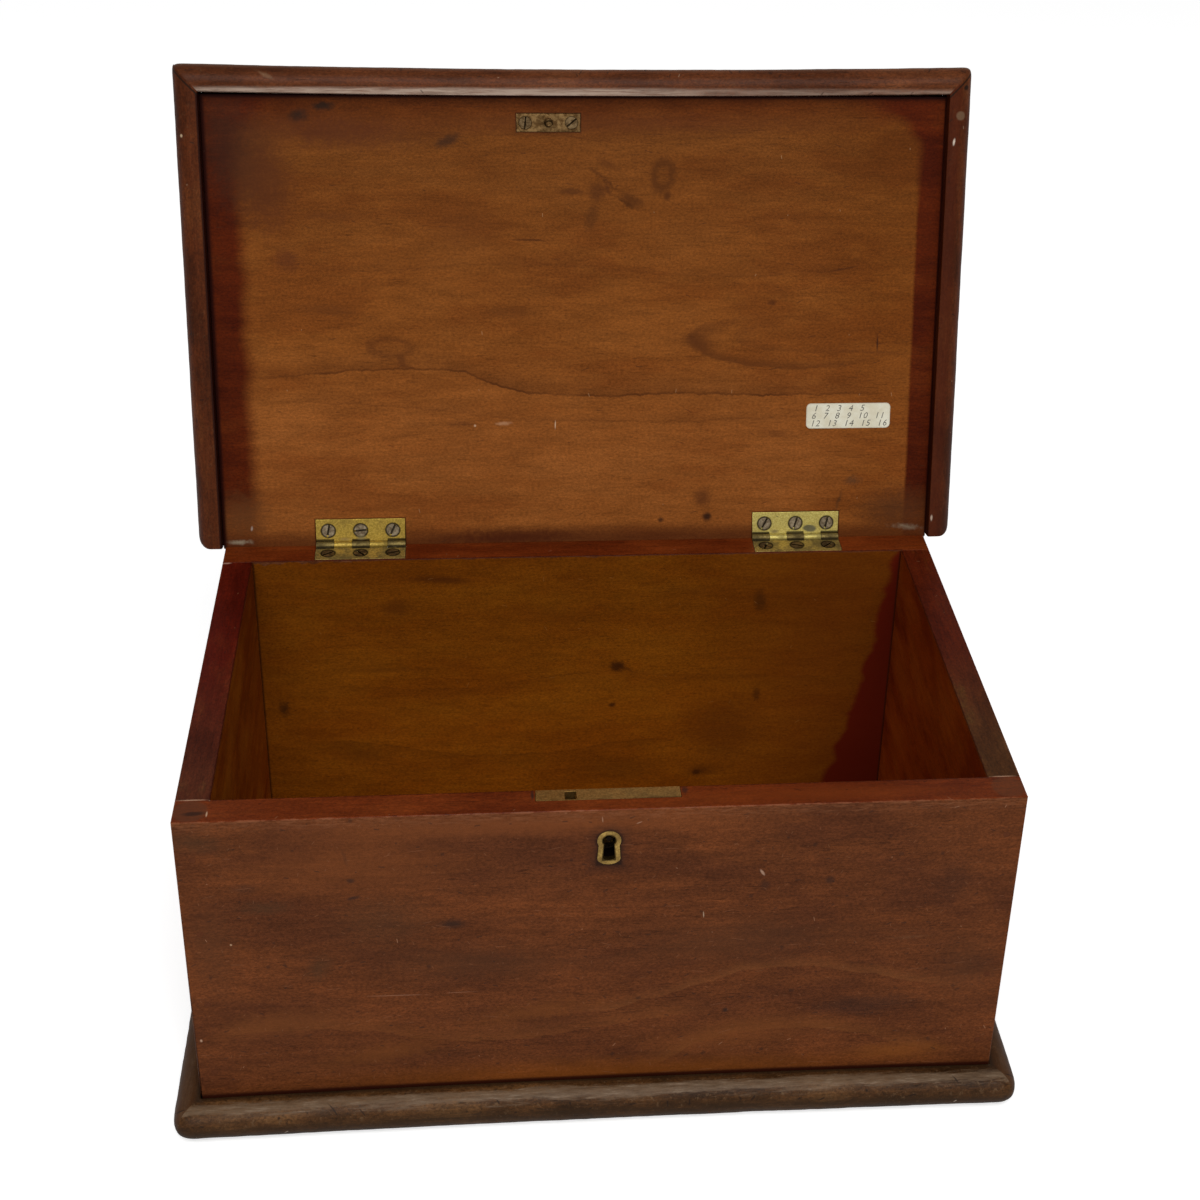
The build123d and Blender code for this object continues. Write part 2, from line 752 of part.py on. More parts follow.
# ---------------------------------------------------------------- the whole box
def case_pieces():
    """The pieces of the carcase, in their places."""
    pieces = {
        "front_board": front_board(),
        "back_board": back_board(),
        "left_side": side_board(-1),
        "right_side": side_board(1),
        "bottom_board": bottom_board(),
        "front_corner_nails": nails(corner_nail_places(front_y, 1), corner_nail_length),
        "back_corner_nails": nails(corner_nail_places(back_y, -1), corner_nail_length),
        "bottom_nails": nails(bottom_nail_places(), bottom_nail_length),
        "base_brads": brads(base_brads()),
        "keyhole_escutcheon": keyhole_escutcheon(),
        "lock_plate": lock_plate(),
        "lock_case": lock_case(),
        "lock_drill_pin": drill_pin(),
        "lock_bolt_spring": bolt_spring(),
        "lock_bolt": lock_bolt(),
        "lock_screws": lock_screws(),
    }
    for name in ("front", "left", "right"):
        pieces[f"base_moulding_{name}"] = base_moulding(name)
    for name, centre_x in hinge_centres().items():
        pieces[f"{name}_hinge_case_leaf"] = hinge_leaf(centre_x, False)
        pieces[f"{name}_hinge_pin"] = hinge_pin(centre_x)
        pieces[f"{name}_hinge_case_screws"] = hinge_screws(centre_x, False, case_slot_angles[name])
    return pieces


def lid_pieces():
    """The pieces of the lid, closed."""
    pieces = {
        "lid_panel": lid_panel(),
        "lid_brads": brads(lid_brads()),
        "link_plate": link_plate(),
        "lock_link": link(),
        "link_plate_screws": link_screws(),
        "paper_label": paper_label(),
    }
    for name in ("front", "left", "right"):
        pieces[f"lid_moulding_{name}"] = lid_moulding(name)
    for name, centre_x in hinge_centres().items():
        pieces[f"{name}_hinge_lid_leaf"] = hinge_leaf(centre_x, True)
        pieces[f"{name}_hinge_lid_screws"] = hinge_screws(centre_x, True, lid_slot_angles[name])
    return pieces


def main():
    """Writes every piece, with the lid open on its stop and the bolt drawn back."""
    os.makedirs("parts", exist_ok=True)
    for name, shape in case_pieces().items():
        export_step(shape, f"parts/{name}.step")
    for name, shape in lid_pieces().items():
        export_step(opened(shape), f"parts/{name}.step")


main()
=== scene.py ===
import logging
import math
from dataclasses import dataclass, replace
from enum import Enum
from typing import Callable, Sequence, Union

import bmesh
import bpy
from mathutils import Matrix, Vector, noise


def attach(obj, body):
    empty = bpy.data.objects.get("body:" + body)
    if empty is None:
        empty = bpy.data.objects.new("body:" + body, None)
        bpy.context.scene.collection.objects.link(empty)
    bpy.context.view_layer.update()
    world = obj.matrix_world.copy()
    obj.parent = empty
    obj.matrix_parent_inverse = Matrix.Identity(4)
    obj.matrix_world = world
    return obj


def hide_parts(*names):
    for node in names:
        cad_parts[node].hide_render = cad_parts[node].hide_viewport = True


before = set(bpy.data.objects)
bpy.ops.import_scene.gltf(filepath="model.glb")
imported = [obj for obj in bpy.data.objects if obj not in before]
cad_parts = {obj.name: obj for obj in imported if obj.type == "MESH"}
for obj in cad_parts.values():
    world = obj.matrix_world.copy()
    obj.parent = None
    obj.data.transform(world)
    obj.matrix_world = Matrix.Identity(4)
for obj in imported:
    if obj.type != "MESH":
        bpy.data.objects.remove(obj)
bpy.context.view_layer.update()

# The box stands with its foot on z = 0 and its front towards -y. Sizes are in millimetres until a mesh
# is finished, and the lid's pieces are shaped as if it were closed and then turned open on its pins.
# The mouldings' dents come from WEAR_SEED, so that they are the same each run.
MM = 0.001
WEAR_SEED = 1
LINE_START, LINE_END = -172.0, 176.0
NOISE_MIDDLE = (0.5, 0.5, 0.5)
ORIGIN = (0.0, 0.0, 0.0)
LOG = logging.getLogger("letter_box")
Socket = bpy.types.NodeSocket
Value = Union[float, Sequence[float], Socket]
Colour = tuple[float, float, float]


# ---------------------------------------------------------------- sizes
@dataclass(frozen=True)
class Plan:
    """The box's own sizes, the same as its solids have."""

    half_width: float = 186.0
    half_depth: float = 117.0
    rim: float = 176.0
    front_thick: float = 15.5
    back_thick: float = 17.0
    side_thick: float = 15.0
    bottom_thick: float = 12.0
    panel_thick: float = 10.0
    lid_gap: float = 0.2
    lip_depth: float = 6.5
    lip_clearance: float = 1.0
    moulding_height: float = 16.5
    moulding_reach: float = 12.5
    foot_crown: float = 2.3
    lip_bevel_width: float = 3.9
    lip_bevel_height: float = 1.2
    lid_end_short: float = 2.5
    lid_end_radius: float = 6.0
    keyhole_x: float = 0.8
    keyhole_z: float = 159.1
    keyhole_radius: float = 2.85
    keyhole_length: float = 10.6
    keyhole_waist: float = 4.0
    keyhole_foot: float = 5.4
    selvedge_width: float = 7.6
    hinge_x: float = 115.7
    hinge_screw_pitch: float = 16.8
    hinge_screw_y: float = 107.5
    hinge_head: float = 7.5
    hinge_half: float = 23.25
    hinge_edge_y: float = 101.3
    hinge_knuckle: float = 9.3
    link_half_long: float = 16.0
    link_half_wide: float = 4.5
    link_x: float = -15.7
    link_y: float = -104.4
    link_screw_reach: float = 11.6
    link_head: float = 6.0
    label_x: float = 142.3
    label_y: float = 48.4
    label_flat_long: float = 20.1
    label_flat_wide: float = 4.4
    label_corner: float = 2.5
    pin_y: float = 115.5
    pin_z: float = 176.1
    open_angle: float = 102.7

    @property
    def lid_z(self) -> float:
        """Height of the closed panel's underside."""
        return self.rim + self.lid_gap

    @property
    def lid_half(self) -> float:
        """Half the panel's width."""
        return self.half_width + self.lip_clearance

    @property
    def lid_front(self) -> float:
        """Y of the panel's front edge."""
        return -self.half_depth - self.lip_clearance

    def lid_turn(self) -> Matrix:
        """The turn that opens the closed lid, in metres."""
        pin = Vector((0.0, self.pin_y, self.pin_z)) * MM
        turn = Matrix.Rotation(math.radians(-self.open_angle), 4, "X")
        return Matrix.Translation(pin) @ turn @ Matrix.Translation(-pin)


PLAN = Plan()


class Body(Enum):
    """The moving bodies of the box."""

    CASE = "case"
    LID = "lid"


class Slot(Enum):
    """The finishes of the pieces that are made anew."""

    STAINED = "stained_wood"
    MOULDING = "worn_moulding"
    HINGE = "hinge_brass"
    BRASS = "dull_brass"
    PAPER = "label_paper"


class Side(Enum):
    """The three lengths of a moulding, by the direction that each one's nose points."""

    FRONT = (0.0, -1.0, 0.0)
    LEFT = (-1.0, 0.0, 0.0)
    RIGHT = (1.0, 0.0, 0.0)


class Face(Enum):
    """Which two coordinates a mark is placed by."""

    FRONT = "front"
    TOP = "top"


# ---------------------------------------------------------------- node bench
class Bench:
    """Puts nodes on one tree and joins their sockets."""

    def __init__(self, tree: bpy.types.NodeTree) -> None:
        """Takes the tree to build on.

        Args:
            tree: a material's node tree or a shader node group.
        """
        self.tree = tree

    def put(self, kind: str, feeds: dict[Union[int, str], Value] | None = None, **settings: object) -> bpy.types.Node:
        """Adds a node.

        Args:
            kind: the node type's name without ShaderNode.
            feeds: values or sockets for its inputs, by name or number.
            settings: the node's own settings.

        Returns:
            The node.
        """
        node = self.tree.nodes.new("ShaderNode" + kind)
        for name, value in settings.items():
            setattr(node, name, value)
        for key, value in (feeds or {}).items():
            self.feed(node.inputs[key], value)
        return node

    def feed(self, socket: Socket, value: Value) -> None:
        """Links a socket to an input, or sets the input's own value."""
        if isinstance(value, bpy.types.NodeSocket):
            self.tree.links.new(value, socket)
        elif isinstance(value, (int, float)):
            socket.default_value = value if socket.type == "VALUE" else (value,) * len(socket.default_value)
        else:
            full = tuple(value) + (1.0,) * (len(socket.default_value) - len(value))
            socket.default_value = full

    def maths(self, operation: str, *values: Value, clamp: bool = False) -> Socket:
        """A maths node on one to three values."""
        return self.put("Math", dict(enumerate(values)), operation=operation, use_clamp=clamp).outputs[0]

    def times(self, first: Value, second: Value) -> Socket:
        """One value multiplied by another."""
        return self.maths("MULTIPLY", first, second)

    def minus(self, first: Value, second: Value) -> Socket:
        """One value less another."""
        return self.maths("SUBTRACT", first, second)

    def plus(self, first: Value, second: Value) -> Socket:
        """One value and another."""
        return self.maths("ADD", first, second)

    def vector(self, operation: str, *values: Value) -> Socket:
        """A vector maths node on one to three vectors."""
        node = self.put("VectorMath", dict(enumerate(values)), operation=operation)
        return node.outputs["Value" if operation in ("LENGTH", "DISTANCE", "DOT_PRODUCT") else "Vector"]

    def scaled(self, vector: Value, factor: Value) -> Socket:
        """A vector multiplied, part by part."""
        return self.vector("MULTIPLY", vector, factor)

    def split(self, vector: Value) -> tuple[Socket, Socket, Socket]:
        """A vector's three parts."""
        out = self.put("SeparateXYZ", {0: vector}).outputs
        return out[0], out[1], out[2]

    def joined(self, x: Value, y: Value, z: Value) -> Socket:
        """A vector from three parts."""
        return self.put("CombineXYZ", {0: x, 1: y, 2: z}).outputs[0]

    def step(self, value: Value, low: Value, high: Value, first: Value = 0.0, last: Value = 1.0) -> Socket:
        """A smooth step from first to last as value goes from low to high."""
        feeds = {0: value, 1: low, 2: high, 3: first, 4: last}
        return self.put("MapRange", feeds, interpolation_type="SMOOTHSTEP").outputs[0]

    def step_line(self, x: Value, heights: Sequence[float]) -> Socket:
        """A smooth line through heights at even steps of x, from LINE_START to LINE_END."""
        node = self.put("FloatCurve", {"Value": self.put("MapRange", {0: x, 1: LINE_START, 2: LINE_END}).outputs[0]})
        low, high = min(heights), max(heights)
        curve = node.mapping.curves[0]
        for index, height in enumerate(heights):
            spot = (index / (len(heights) - 1), (height - low) / (high - low))
            if index in (0, len(heights) - 1):
                curve.points[min(index, len(curve.points) - 1)].location = spot
            else:
                curve.points.new(*spot)
        node.mapping.update()
        return self.maths("ADD", self.maths("MULTIPLY", node.outputs[0], high - low), low)

    def noise(self, vector: Value, scale: Value = 1.0, detail: float = 2.0, rough: float = 0.5) -> bpy.types.Node:
        """A noise texture on a vector."""
        return self.put("TexNoise", {"Vector": vector, "Scale": scale, "Detail": detail, "Roughness": rough})

    def drift(self, vector: Value, scale: Value = 1.0, detail: float = 2.0, rough: float = 0.5) -> Socket:
        """The single value of a noise texture on a vector."""
        return self.noise(vector, scale, detail, rough).outputs["Fac"]

    def mix(self, factor: Value, first: Value, second: Value, blend: str = "MIX") -> Socket:
        """A mix of two colours."""
        node = self.put("Mix", {0: factor, 6: first, 7: second}, data_type="RGBA", blend_type=blend)
        return node.outputs[2]

    def group(self, tree: bpy.types.NodeTree, **feeds: Value) -> bpy.types.Node:
        """Places a shared group; an underscore in a keyword stands for a space."""
        node = self.put("Group", node_tree=tree)
        for name, value in feeds.items():
            self.feed(node.inputs[name.replace("_", " ")], value)
        return node


Parts = dict[str, Socket]


def shared_group(
    name: str, inputs: dict[str, Value], outputs: Sequence[str], build: Callable[[Bench, Parts], Parts],
) -> bpy.types.NodeTree:
    """Makes a shader node group once, for several materials.

    Args:
        name: the group's name.
        inputs: each input's name and first value; three numbers make a vector.
        outputs: the names of its outputs, all plain values.
        build: puts the nodes and returns a socket for each output.

    Returns:
        The group.
    """
    tree = bpy.data.node_groups.new(name, "ShaderNodeTree")
    for key, value in inputs.items():
        kind = "NodeSocketFloat" if isinstance(value, (int, float)) else "NodeSocketVector"
        tree.interface.new_socket(key, in_out="INPUT", socket_type=kind).default_value = value
    for key in outputs:
        tree.interface.new_socket(key, in_out="OUTPUT", socket_type="NodeSocketFloat")
    bench = Bench(tree)
    entry = tree.nodes.new("NodeGroupInput")
    leave = tree.nodes.new("NodeGroupOutput")
    made = build(bench, {socket.name: socket for socket in entry.outputs if socket.name})
    for key in outputs:
        tree.links.new(made[key], leave.inputs[key])
    return tree


def build_figure(b: Bench, i: Parts) -> Parts:
    """Rings, fibres, pores, clouds and short flames of sawn wood whose grain runs along x."""
    moved = b.vector("ADD", i["Vector"], b.scaled((311.0, 173.0, 97.0), i["Seed"]))
    slow = b.noise(b.scaled(moved, (0.0042, 0.017, 0.017)), detail=2.0)
    quick = b.noise(b.scaled(moved, (0.022, 0.13, 0.13)), detail=2.0)
    sway = b.scaled(b.vector("SUBTRACT", slow.outputs["Color"], NOISE_MIDDLE), (0.0, 46.0, 30.0))
    shake = b.scaled(b.vector("SUBTRACT", quick.outputs["Color"], NOISE_MIDDLE), (0.0, 2.4, 2.4))
    place = b.vector("ADD", b.vector("ADD", i["Vector"], sway), shake)
    radius = b.vector("LENGTH", b.scaled(b.vector("SUBTRACT", place, i["Pith"]), (0.0, 1.0, 1.0)))
    saw = b.maths("FRACT", b.maths("DIVIDE", radius, i["Ring Width"]))
    late = b.times(b.step(saw, 0.25, 0.9), b.step(saw, 0.93, 1.0, 1.0, 0.0))
    come = b.drift(b.scaled(moved, (0.006, 0.03, 0.03)), detail=1.0)
    rings = b.times(late, b.step(come, 0.36, 0.66, 0.12, 1.0))
    fibres = b.drift(b.scaled(moved, (0.05, 0.8, 0.8)), detail=5.0, rough=0.7)
    specks = b.drift(b.scaled(moved, (0.62, 1.05, 1.05)), detail=4.0, rough=0.8)
    flames = b.drift(b.scaled(moved, (0.045, 0.21, 0.21)), detail=5.0, rough=0.66)
    dash = b.drift(b.scaled(moved, (0.13, 1.35, 1.35)), detail=1.0)
    crowd = b.drift(b.scaled(moved, (0.014, 0.05, 0.05)), detail=1.0)
    pores = b.times(b.step(dash, 0.63, 0.74), b.step(crowd, 0.42, 0.62))
    clouds = b.drift(b.scaled(moved, (0.013, 0.034, 0.034)), detail=6.0, rough=0.66)
    return {"Rings": rings, "Fibres": fibres, "Pores": pores, "Clouds": clouds, "Specks": specks, "Flames": flames}


def build_arris(b: Bench, i: Parts) -> Parts:
    """How rubbed a board is near its arrises, broken up along them."""
    half = b.scaled(b.vector("SUBTRACT", i["High"], i["Low"]), (0.5, 0.5, 0.5))
    centre = b.vector("ADD", i["Low"], half)
    depth = b.vector("SUBTRACT", half, b.vector("ABSOLUTE", b.vector("SUBTRACT", i["Vector"], centre)))
    x, y, z = b.split(depth)
    low = b.maths("MINIMUM", x, y)
    high = b.maths("MAXIMUM", x, y)
    second = b.maths("MAXIMUM", low, b.maths("MINIMUM", high, z))
    ragged = b.drift(i["Vector"], 0.16, 5.0, 0.7)
    reach = b.times(i["Width"], b.step(ragged, 0.34, 0.72, 0.15, 1.7))
    near = b.minus(1.0, b.step(second, b.times(reach, 0.45), reach))
    spell = b.drift(i["Vector"], 0.035, 3.0, 0.6)
    return {"Wear": b.times(near, b.step(spell, 0.36, 0.6, 0.3, 1.0))}


def build_mark(b: Bench, i: Parts) -> Parts:
    """One soft-edged oval mark on a face, full or hollow, given by its centre and its two axes."""
    swirl = b.vector("SUBTRACT", b.noise(i["Vector"], 0.3, 5.0, 0.7).outputs["Color"], NOISE_MIDDLE)
    moved = b.vector("ADD", i["Vector"], b.scaled(swirl, i["Sway"]))
    local = b.vector("SUBTRACT", moved, i["Centre"])
    long, wide = b.vector("DOT_PRODUCT", local, i["Long Axis"]), b.vector("DOT_PRODUCT", local, i["Wide Axis"])
    reach = b.maths("SQRT", b.plus(b.times(long, long), b.times(wide, wide)))
    ring = b.step(reach, b.minus(i["Hollow"], 0.4), i["Hollow"], 0.35, 1.0)
    return {"Mask": b.times(ring, b.step(reach, i["Core"], 1.0, 1.0, 0.0))}


def build_flecks(b: Bench, i: Parts) -> Parts:
    """Short straight flecks or scratches scattered one to a cell."""
    cells = b.vector("DIVIDE", i["Vector"], b.joined(i["Cell"], i["Cell"], 1.0))
    seed = b.put("TexVoronoi", {"Vector": cells, "Scale": 1.0}, voronoi_dimensions="2D")
    away = b.scaled(b.vector("SUBTRACT", cells, seed.outputs["Position"]), i["Cell"])
    x, y, _ = b.split(away)
    red, green, blue = b.split(seed.outputs["Color"])
    lean = b.times(b.minus(red, 0.5), i["Spread"])
    angle = b.maths("RADIANS", b.plus(i["Turn"], lean))
    cos, sin = b.maths("COSINE", angle), b.maths("SINE", angle)
    along = b.maths("ABSOLUTE", b.plus(b.times(x, cos), b.times(y, sin)))
    across = b.maths("ABSOLUTE", b.minus(b.times(y, cos), b.times(x, sin)))
    length = b.times(i["Length"], b.step(blue, 0.0, 1.0, 0.3, 1.0))
    body = b.step(across, b.times(i["Width"], 0.3), i["Width"], 1.0, 0.0)
    ends = b.step(along, b.times(length, 0.5), length, 1.0, 0.0)
    chosen = b.maths("LESS_THAN", green, i["Chance"])
    return {"Mask": b.times(b.times(body, ends), chosen)}


def build_tarnish(b: Bench, i: Parts) -> Parts:
    """Brown and green bloom on old brass, and its fine speckle."""
    bloom = b.drift(b.vector("ADD", i["Vector"], i["Shift"]), 0.11, 5.0, 0.66)
    fine = b.drift(b.scaled(i["Vector"], i["Grain"]), 1.0, 4.0, 0.65)
    return {"Bloom": b.step(bloom, 0.42, 0.66), "Speckle": fine}


@dataclass
class Shared:
    """The node groups that several finishes use, built once."""

    figure: bpy.types.NodeTree
    arris: bpy.types.NodeTree
    mark: bpy.types.NodeTree
    flecks: bpy.types.NodeTree
    tarnish: bpy.types.NodeTree

    @staticmethod
    def build() -> "Shared":
        """Builds every shared group."""
        figure_inputs = {"Vector": ORIGIN, "Seed": 1.0, "Pith": (0.0, 60.0, 0.0), "Ring Width": 3.0}
        mark_inputs = {
            "Vector": ORIGIN, "Centre": ORIGIN, "Long Axis": (0.2, 0.0, 0.0), "Wide Axis": (0.0, 0.2, 0.0),
            "Sway": ORIGIN, "Core": 0.3, "Hollow": 0.0,
        }
        arris_inputs = {"Vector": ORIGIN, "Low": ORIGIN, "High": ORIGIN, "Width": 1.0}
        tarnish_inputs = {"Vector": ORIGIN, "Shift": ORIGIN, "Grain": (1.1, 1.1, 1.1)}
        fleck_inputs = {
            "Vector": ORIGIN, "Cell": 30.0, "Chance": 0.4, "Length": 4.0, "Width": 0.25, "Turn": 0.0, "Spread": 360.0,
        }
        figure_outputs = ("Rings", "Fibres", "Pores", "Clouds", "Specks", "Flames")
        return Shared(
            figure=shared_group("wood_figure", figure_inputs, figure_outputs, build_figure),
            arris=shared_group("arris_wear", arris_inputs, ("Wear",), build_arris),
            mark=shared_group("soft_mark", mark_inputs, ("Mask",), build_mark),
            flecks=shared_group("flecks", fleck_inputs, ("Mask",), build_flecks),
            tarnish=shared_group("tarnish", tarnish_inputs, ("Bloom", "Speckle"), build_tarnish),
        )


# ---------------------------------------------------------------- finishes
@dataclass(frozen=True)
class WoodTint:
    """The colours of one treatment of the wood and how strongly its figure shows."""

    light: Colour
    base: Colour
    dark: Colour
    rings: float = 0.3
    fibres: float = 0.3
    pores: float = 0.5
    clouds: float = 0.8
    rough: float = 0.45
    specks: float = 0.14
    flames: float = 0.1


STAINED = WoodTint(
    (0.141, 0.039, 0.0105), (0.102, 0.029, 0.0085), (0.067, 0.019, 0.0068), 0.16, 0.1, 0.55, 0.65, 0.5, 0.36, 0.14,
)
RIM_RED = WoodTint((0.158, 0.031, 0.005), (0.123, 0.021, 0.0033), (0.08, 0.011, 0.0018), 0.18, 0.16, 0.5, 0.7, 0.4, 0.3)
RIM_DARK = WoodTint(
    (0.102, 0.014, 0.0036), (0.074, 0.0058, 0.0018), (0.044, 0.0028, 0.0008), 0.15, 0.16, 0.5, 0.7, 0.42, 0.32,
)
GOLDEN = WoodTint(
    (0.202, 0.06, 0.0028), (0.172, 0.046, 0.0018), (0.14, 0.032, 0.001), 0.14, 0.07, 0.35, 0.55, 0.62, 0.3, 0.1,
)
GOLDEN_RED = WoodTint(
    (0.275, 0.052, 0.004), (0.224, 0.034, 0.002), (0.15, 0.016, 0.001), 0.14, 0.1, 0.4, 0.9, 0.62, 0.3, 0.1,
)
GOLDEN_BROWN = WoodTint(
    (0.28, 0.078, 0.005), (0.232, 0.053, 0.0026), (0.16, 0.026, 0.001), 0.14, 0.1, 0.4, 0.9, 0.62, 0.3, 0.1,
)
TAN = WoodTint(
    (0.2, 0.062, 0.0105), (0.173, 0.051, 0.0078), (0.138, 0.036, 0.005), 0.14, 0.07, 0.4, 0.65, 0.58, 0.32, 0.12,
)
BORDER = WoodTint(
    (0.1, 0.017, 0.002), (0.072, 0.0095, 0.0009), (0.042, 0.0042, 0.0004), 0.12, 0.1, 0.35, 0.7, 0.5, 0.34, 0.14,
)
NOSE = WoodTint(
    (0.098, 0.026, 0.006), (0.072, 0.016, 0.0036), (0.04, 0.009, 0.0022), 0.06, 0.14, 0.55, 0.9, 0.42, 0.36, 0.14,
)
LIP = WoodTint(
    (0.12, 0.036, 0.011), (0.092, 0.0245, 0.0068), (0.056, 0.014, 0.0036), 0.06, 0.14, 0.55, 0.9, 0.42, 0.36, 0.14,
)
FOOT = WoodTint(
    (0.104, 0.046, 0.0148), (0.064, 0.0258, 0.0076), (0.032, 0.013, 0.0038), 0.1, 0.2, 0.7, 0.9, 0.48, 0.42, 0.2,
)
RAW = WoodTint((0.33, 0.19, 0.09), (0.27, 0.145, 0.065), (0.17, 0.085, 0.038), 0.45, 0.3, 0.4, 0.8, 0.75)
BARE: Colour = (0.25, 0.09, 0.04)
DARK_STAIN: Colour = (0.022, 0.012, 0.009)
RED_STAIN: Colour = (0.096, 0.0062, 0.002)
SHOULDER_GREY_HIGHLIGHT: Colour = (0.155, 0.1, 0.06)
SHOULDER_PALE_HIGHLIGHT: Colour = (0.29, 0.215, 0.15)
WORN_BROW: Colour = (0.215, 0.08, 0.034)
GRIME: Colour = (0.026, 0.012, 0.008)
DEEP_GRIME: Colour = (0.012, 0.006, 0.004)
HOLE_SHADE: Colour = (0.004, 0.002, 0.001)
SEAM_GRIME_AND_SHADE: Colour = (0.022, 0.004, 0.002)
CORNER_SHADE: Colour = (0.03, 0.007, 0.002)
RIM_LINE: Colour = (0.03, 0.003, 0.001)
AMBER_SHADE: Colour = (0.105, 0.022, 0.002)
RIM_SHEEN_TINT: Colour = (1.0, 3.6, 4.4)
RIM_WARMER: Colour = (1.0, 1.8, 1.18)
DULL_STAIN: Colour = (0.056, 0.027, 0.012)
HAZE: Colour = (0.072, 0.027, 0.011)
BROWN_SMEAR: Colour = (0.085, 0.024, 0.006)
FAINT_SMEAR: Colour = (0.1, 0.029, 0.006)
BROWN_LINE: Colour = (0.06, 0.016, 0.004)
BROWN_SPOT: Colour = (0.066, 0.019, 0.004)
DEEP_SPOT: Colour = (0.034, 0.009, 0.002)
OVAL_BROWN: Colour = (0.08, 0.022, 0.005)
INK_SPOT: Colour = (0.014, 0.009, 0.006)
BLACK_SPOT: Colour = (0.02, 0.008, 0.005)
RED_GLOW: Colour = (0.165, 0.05, 0.011)
WARM_SCUFF: Colour = (0.3, 0.15, 0.09)
PALE_SCUFF: Colour = (0.36, 0.2, 0.12)
BARE_CHIP: Colour = (0.42, 0.26, 0.17)
PALE_CHIP: Colour = (0.5, 0.32, 0.2)


@dataclass(frozen=True)
class Mark:
    """One old mark on a face: its middle, its half sizes, its turn and its colour."""

    u: float
    v: float
    half_long: float
    half_wide: float
    colour: Colour = DARK_STAIN
    strength: float = 0.6
    turn: float = 0.0
    ragged: float = 0.6
    core: float = 0.2
    hollow: float = 0.0


def cloud(
    u: float, v: float, half_long: float, half_wide: float, colour: Colour, strength: float, ragged: float,
) -> Mark:
    """An unturned mark that fades from its middle outwards."""
    return Mark(u, v, half_long, half_wide, colour, strength, 0.0, ragged, 0.0)


@dataclass(frozen=True)
class Scratch:
    """One kind of fleck or scratch: its colour, the cell that holds one, its chance, sizes, strength and turn."""

    tone: Colour
    cell: float
    chance: float
    length: float
    width: float
    strength: float
    turn: float = 0.0
    spread: float = 360.0


OUTER_SCRATCHES = (
    Scratch((0.36, 0.18, 0.1), 34.0, 0.26, 1.5, 0.22, 0.6),
    Scratch((0.24, 0.1, 0.05), 19.0, 0.4, 4.5, 0.2, 0.35, 0.0, 40.0),
    Scratch(DARK_STAIN, 13.0, 0.45, 1.7, 0.5, 0.55, 0.0, 70.0),
    Scratch((0.03, 0.013, 0.008), 29.0, 0.4, 1.6, 1.3, 0.5),
    Scratch((0.215, 0.088, 0.04), 8.0, 0.5, 1.3, 0.28, 0.35),
)
INNER_SCRATCHES = (
    Scratch((0.3, 0.13, 0.035), 16.0, 0.25, 2.0, 0.2, 0.45),
    Scratch((0.06, 0.016, 0.002), 11.0, 0.45, 1.6, 0.35, 0.55, 0.0, 60.0),
)
RIM_CHIPS = Scratch((0.25, 0.12, 0.06), 17.0, 0.25, 1.2, 0.25, 0.5)
RIM_STREAKS = Scratch((0.02, 0.004, 0.002), 12.0, 0.4, 2.4, 0.4, 0.6, 0.0, 50.0)
LID_TOP_SCRATCHES = Scratch(BARE, 30.0, 0.35, 5.0, 0.25, 0.5)
FIELD_SCRATCHES = (
    Scratch((0.42, 0.24, 0.12), 31.0, 0.22, 1.4, 0.2, 0.6, 90.0, 60.0),
    Scratch((0.05, 0.016, 0.006), 19.0, 0.4, 2.6, 0.35, 0.55, 0.0, 60.0),
)
FOOT_SCRATCHES = (
    Scratch((0.014, 0.007, 0.004), 11.0, 0.5, 2.2, 0.5, 0.8, 60.0, 140.0),
    Scratch((0.4, 0.32, 0.25), 24.0, 0.4, 1.2, 0.4, 0.7, 60.0, 120.0),
)
LIP_SCRATCHES = (
    Scratch((0.016, 0.008, 0.005), 11.0, 0.45, 1.6, 0.45, 0.6, 0.0, 120.0),
    Scratch((0.3, 0.18, 0.11), 27.0, 0.3, 1.0, 0.35, 0.5),
)
UNDERSIDE_SCRATCHES = Scratch(DARK_STAIN, 22.0, 0.5, 6.0, 0.4, 0.5)


def mark_amount(b: Bench, shared: Shared, place: Socket, mark: Mark) -> Socket:
    """How strongly a mark shows at each point."""
    cos, sin = math.cos(math.radians(mark.turn)), math.sin(math.radians(mark.turn))
    feeds = {
        "Vector": place,
        "Centre": (mark.u, mark.v, 0.0),
        "Long Axis": (cos / mark.half_long, sin / mark.half_long, 0.0),
        "Wide Axis": (-sin / mark.half_wide, cos / mark.half_wide, 0.0),
        "Sway": (mark.ragged * mark.half_long, mark.ragged * mark.half_wide, 0.0),
        "Core": mark.core,
        "Hollow": mark.hollow,
    }
    return b.times(b.group(shared.mark, **feeds).outputs[0], mark.strength)


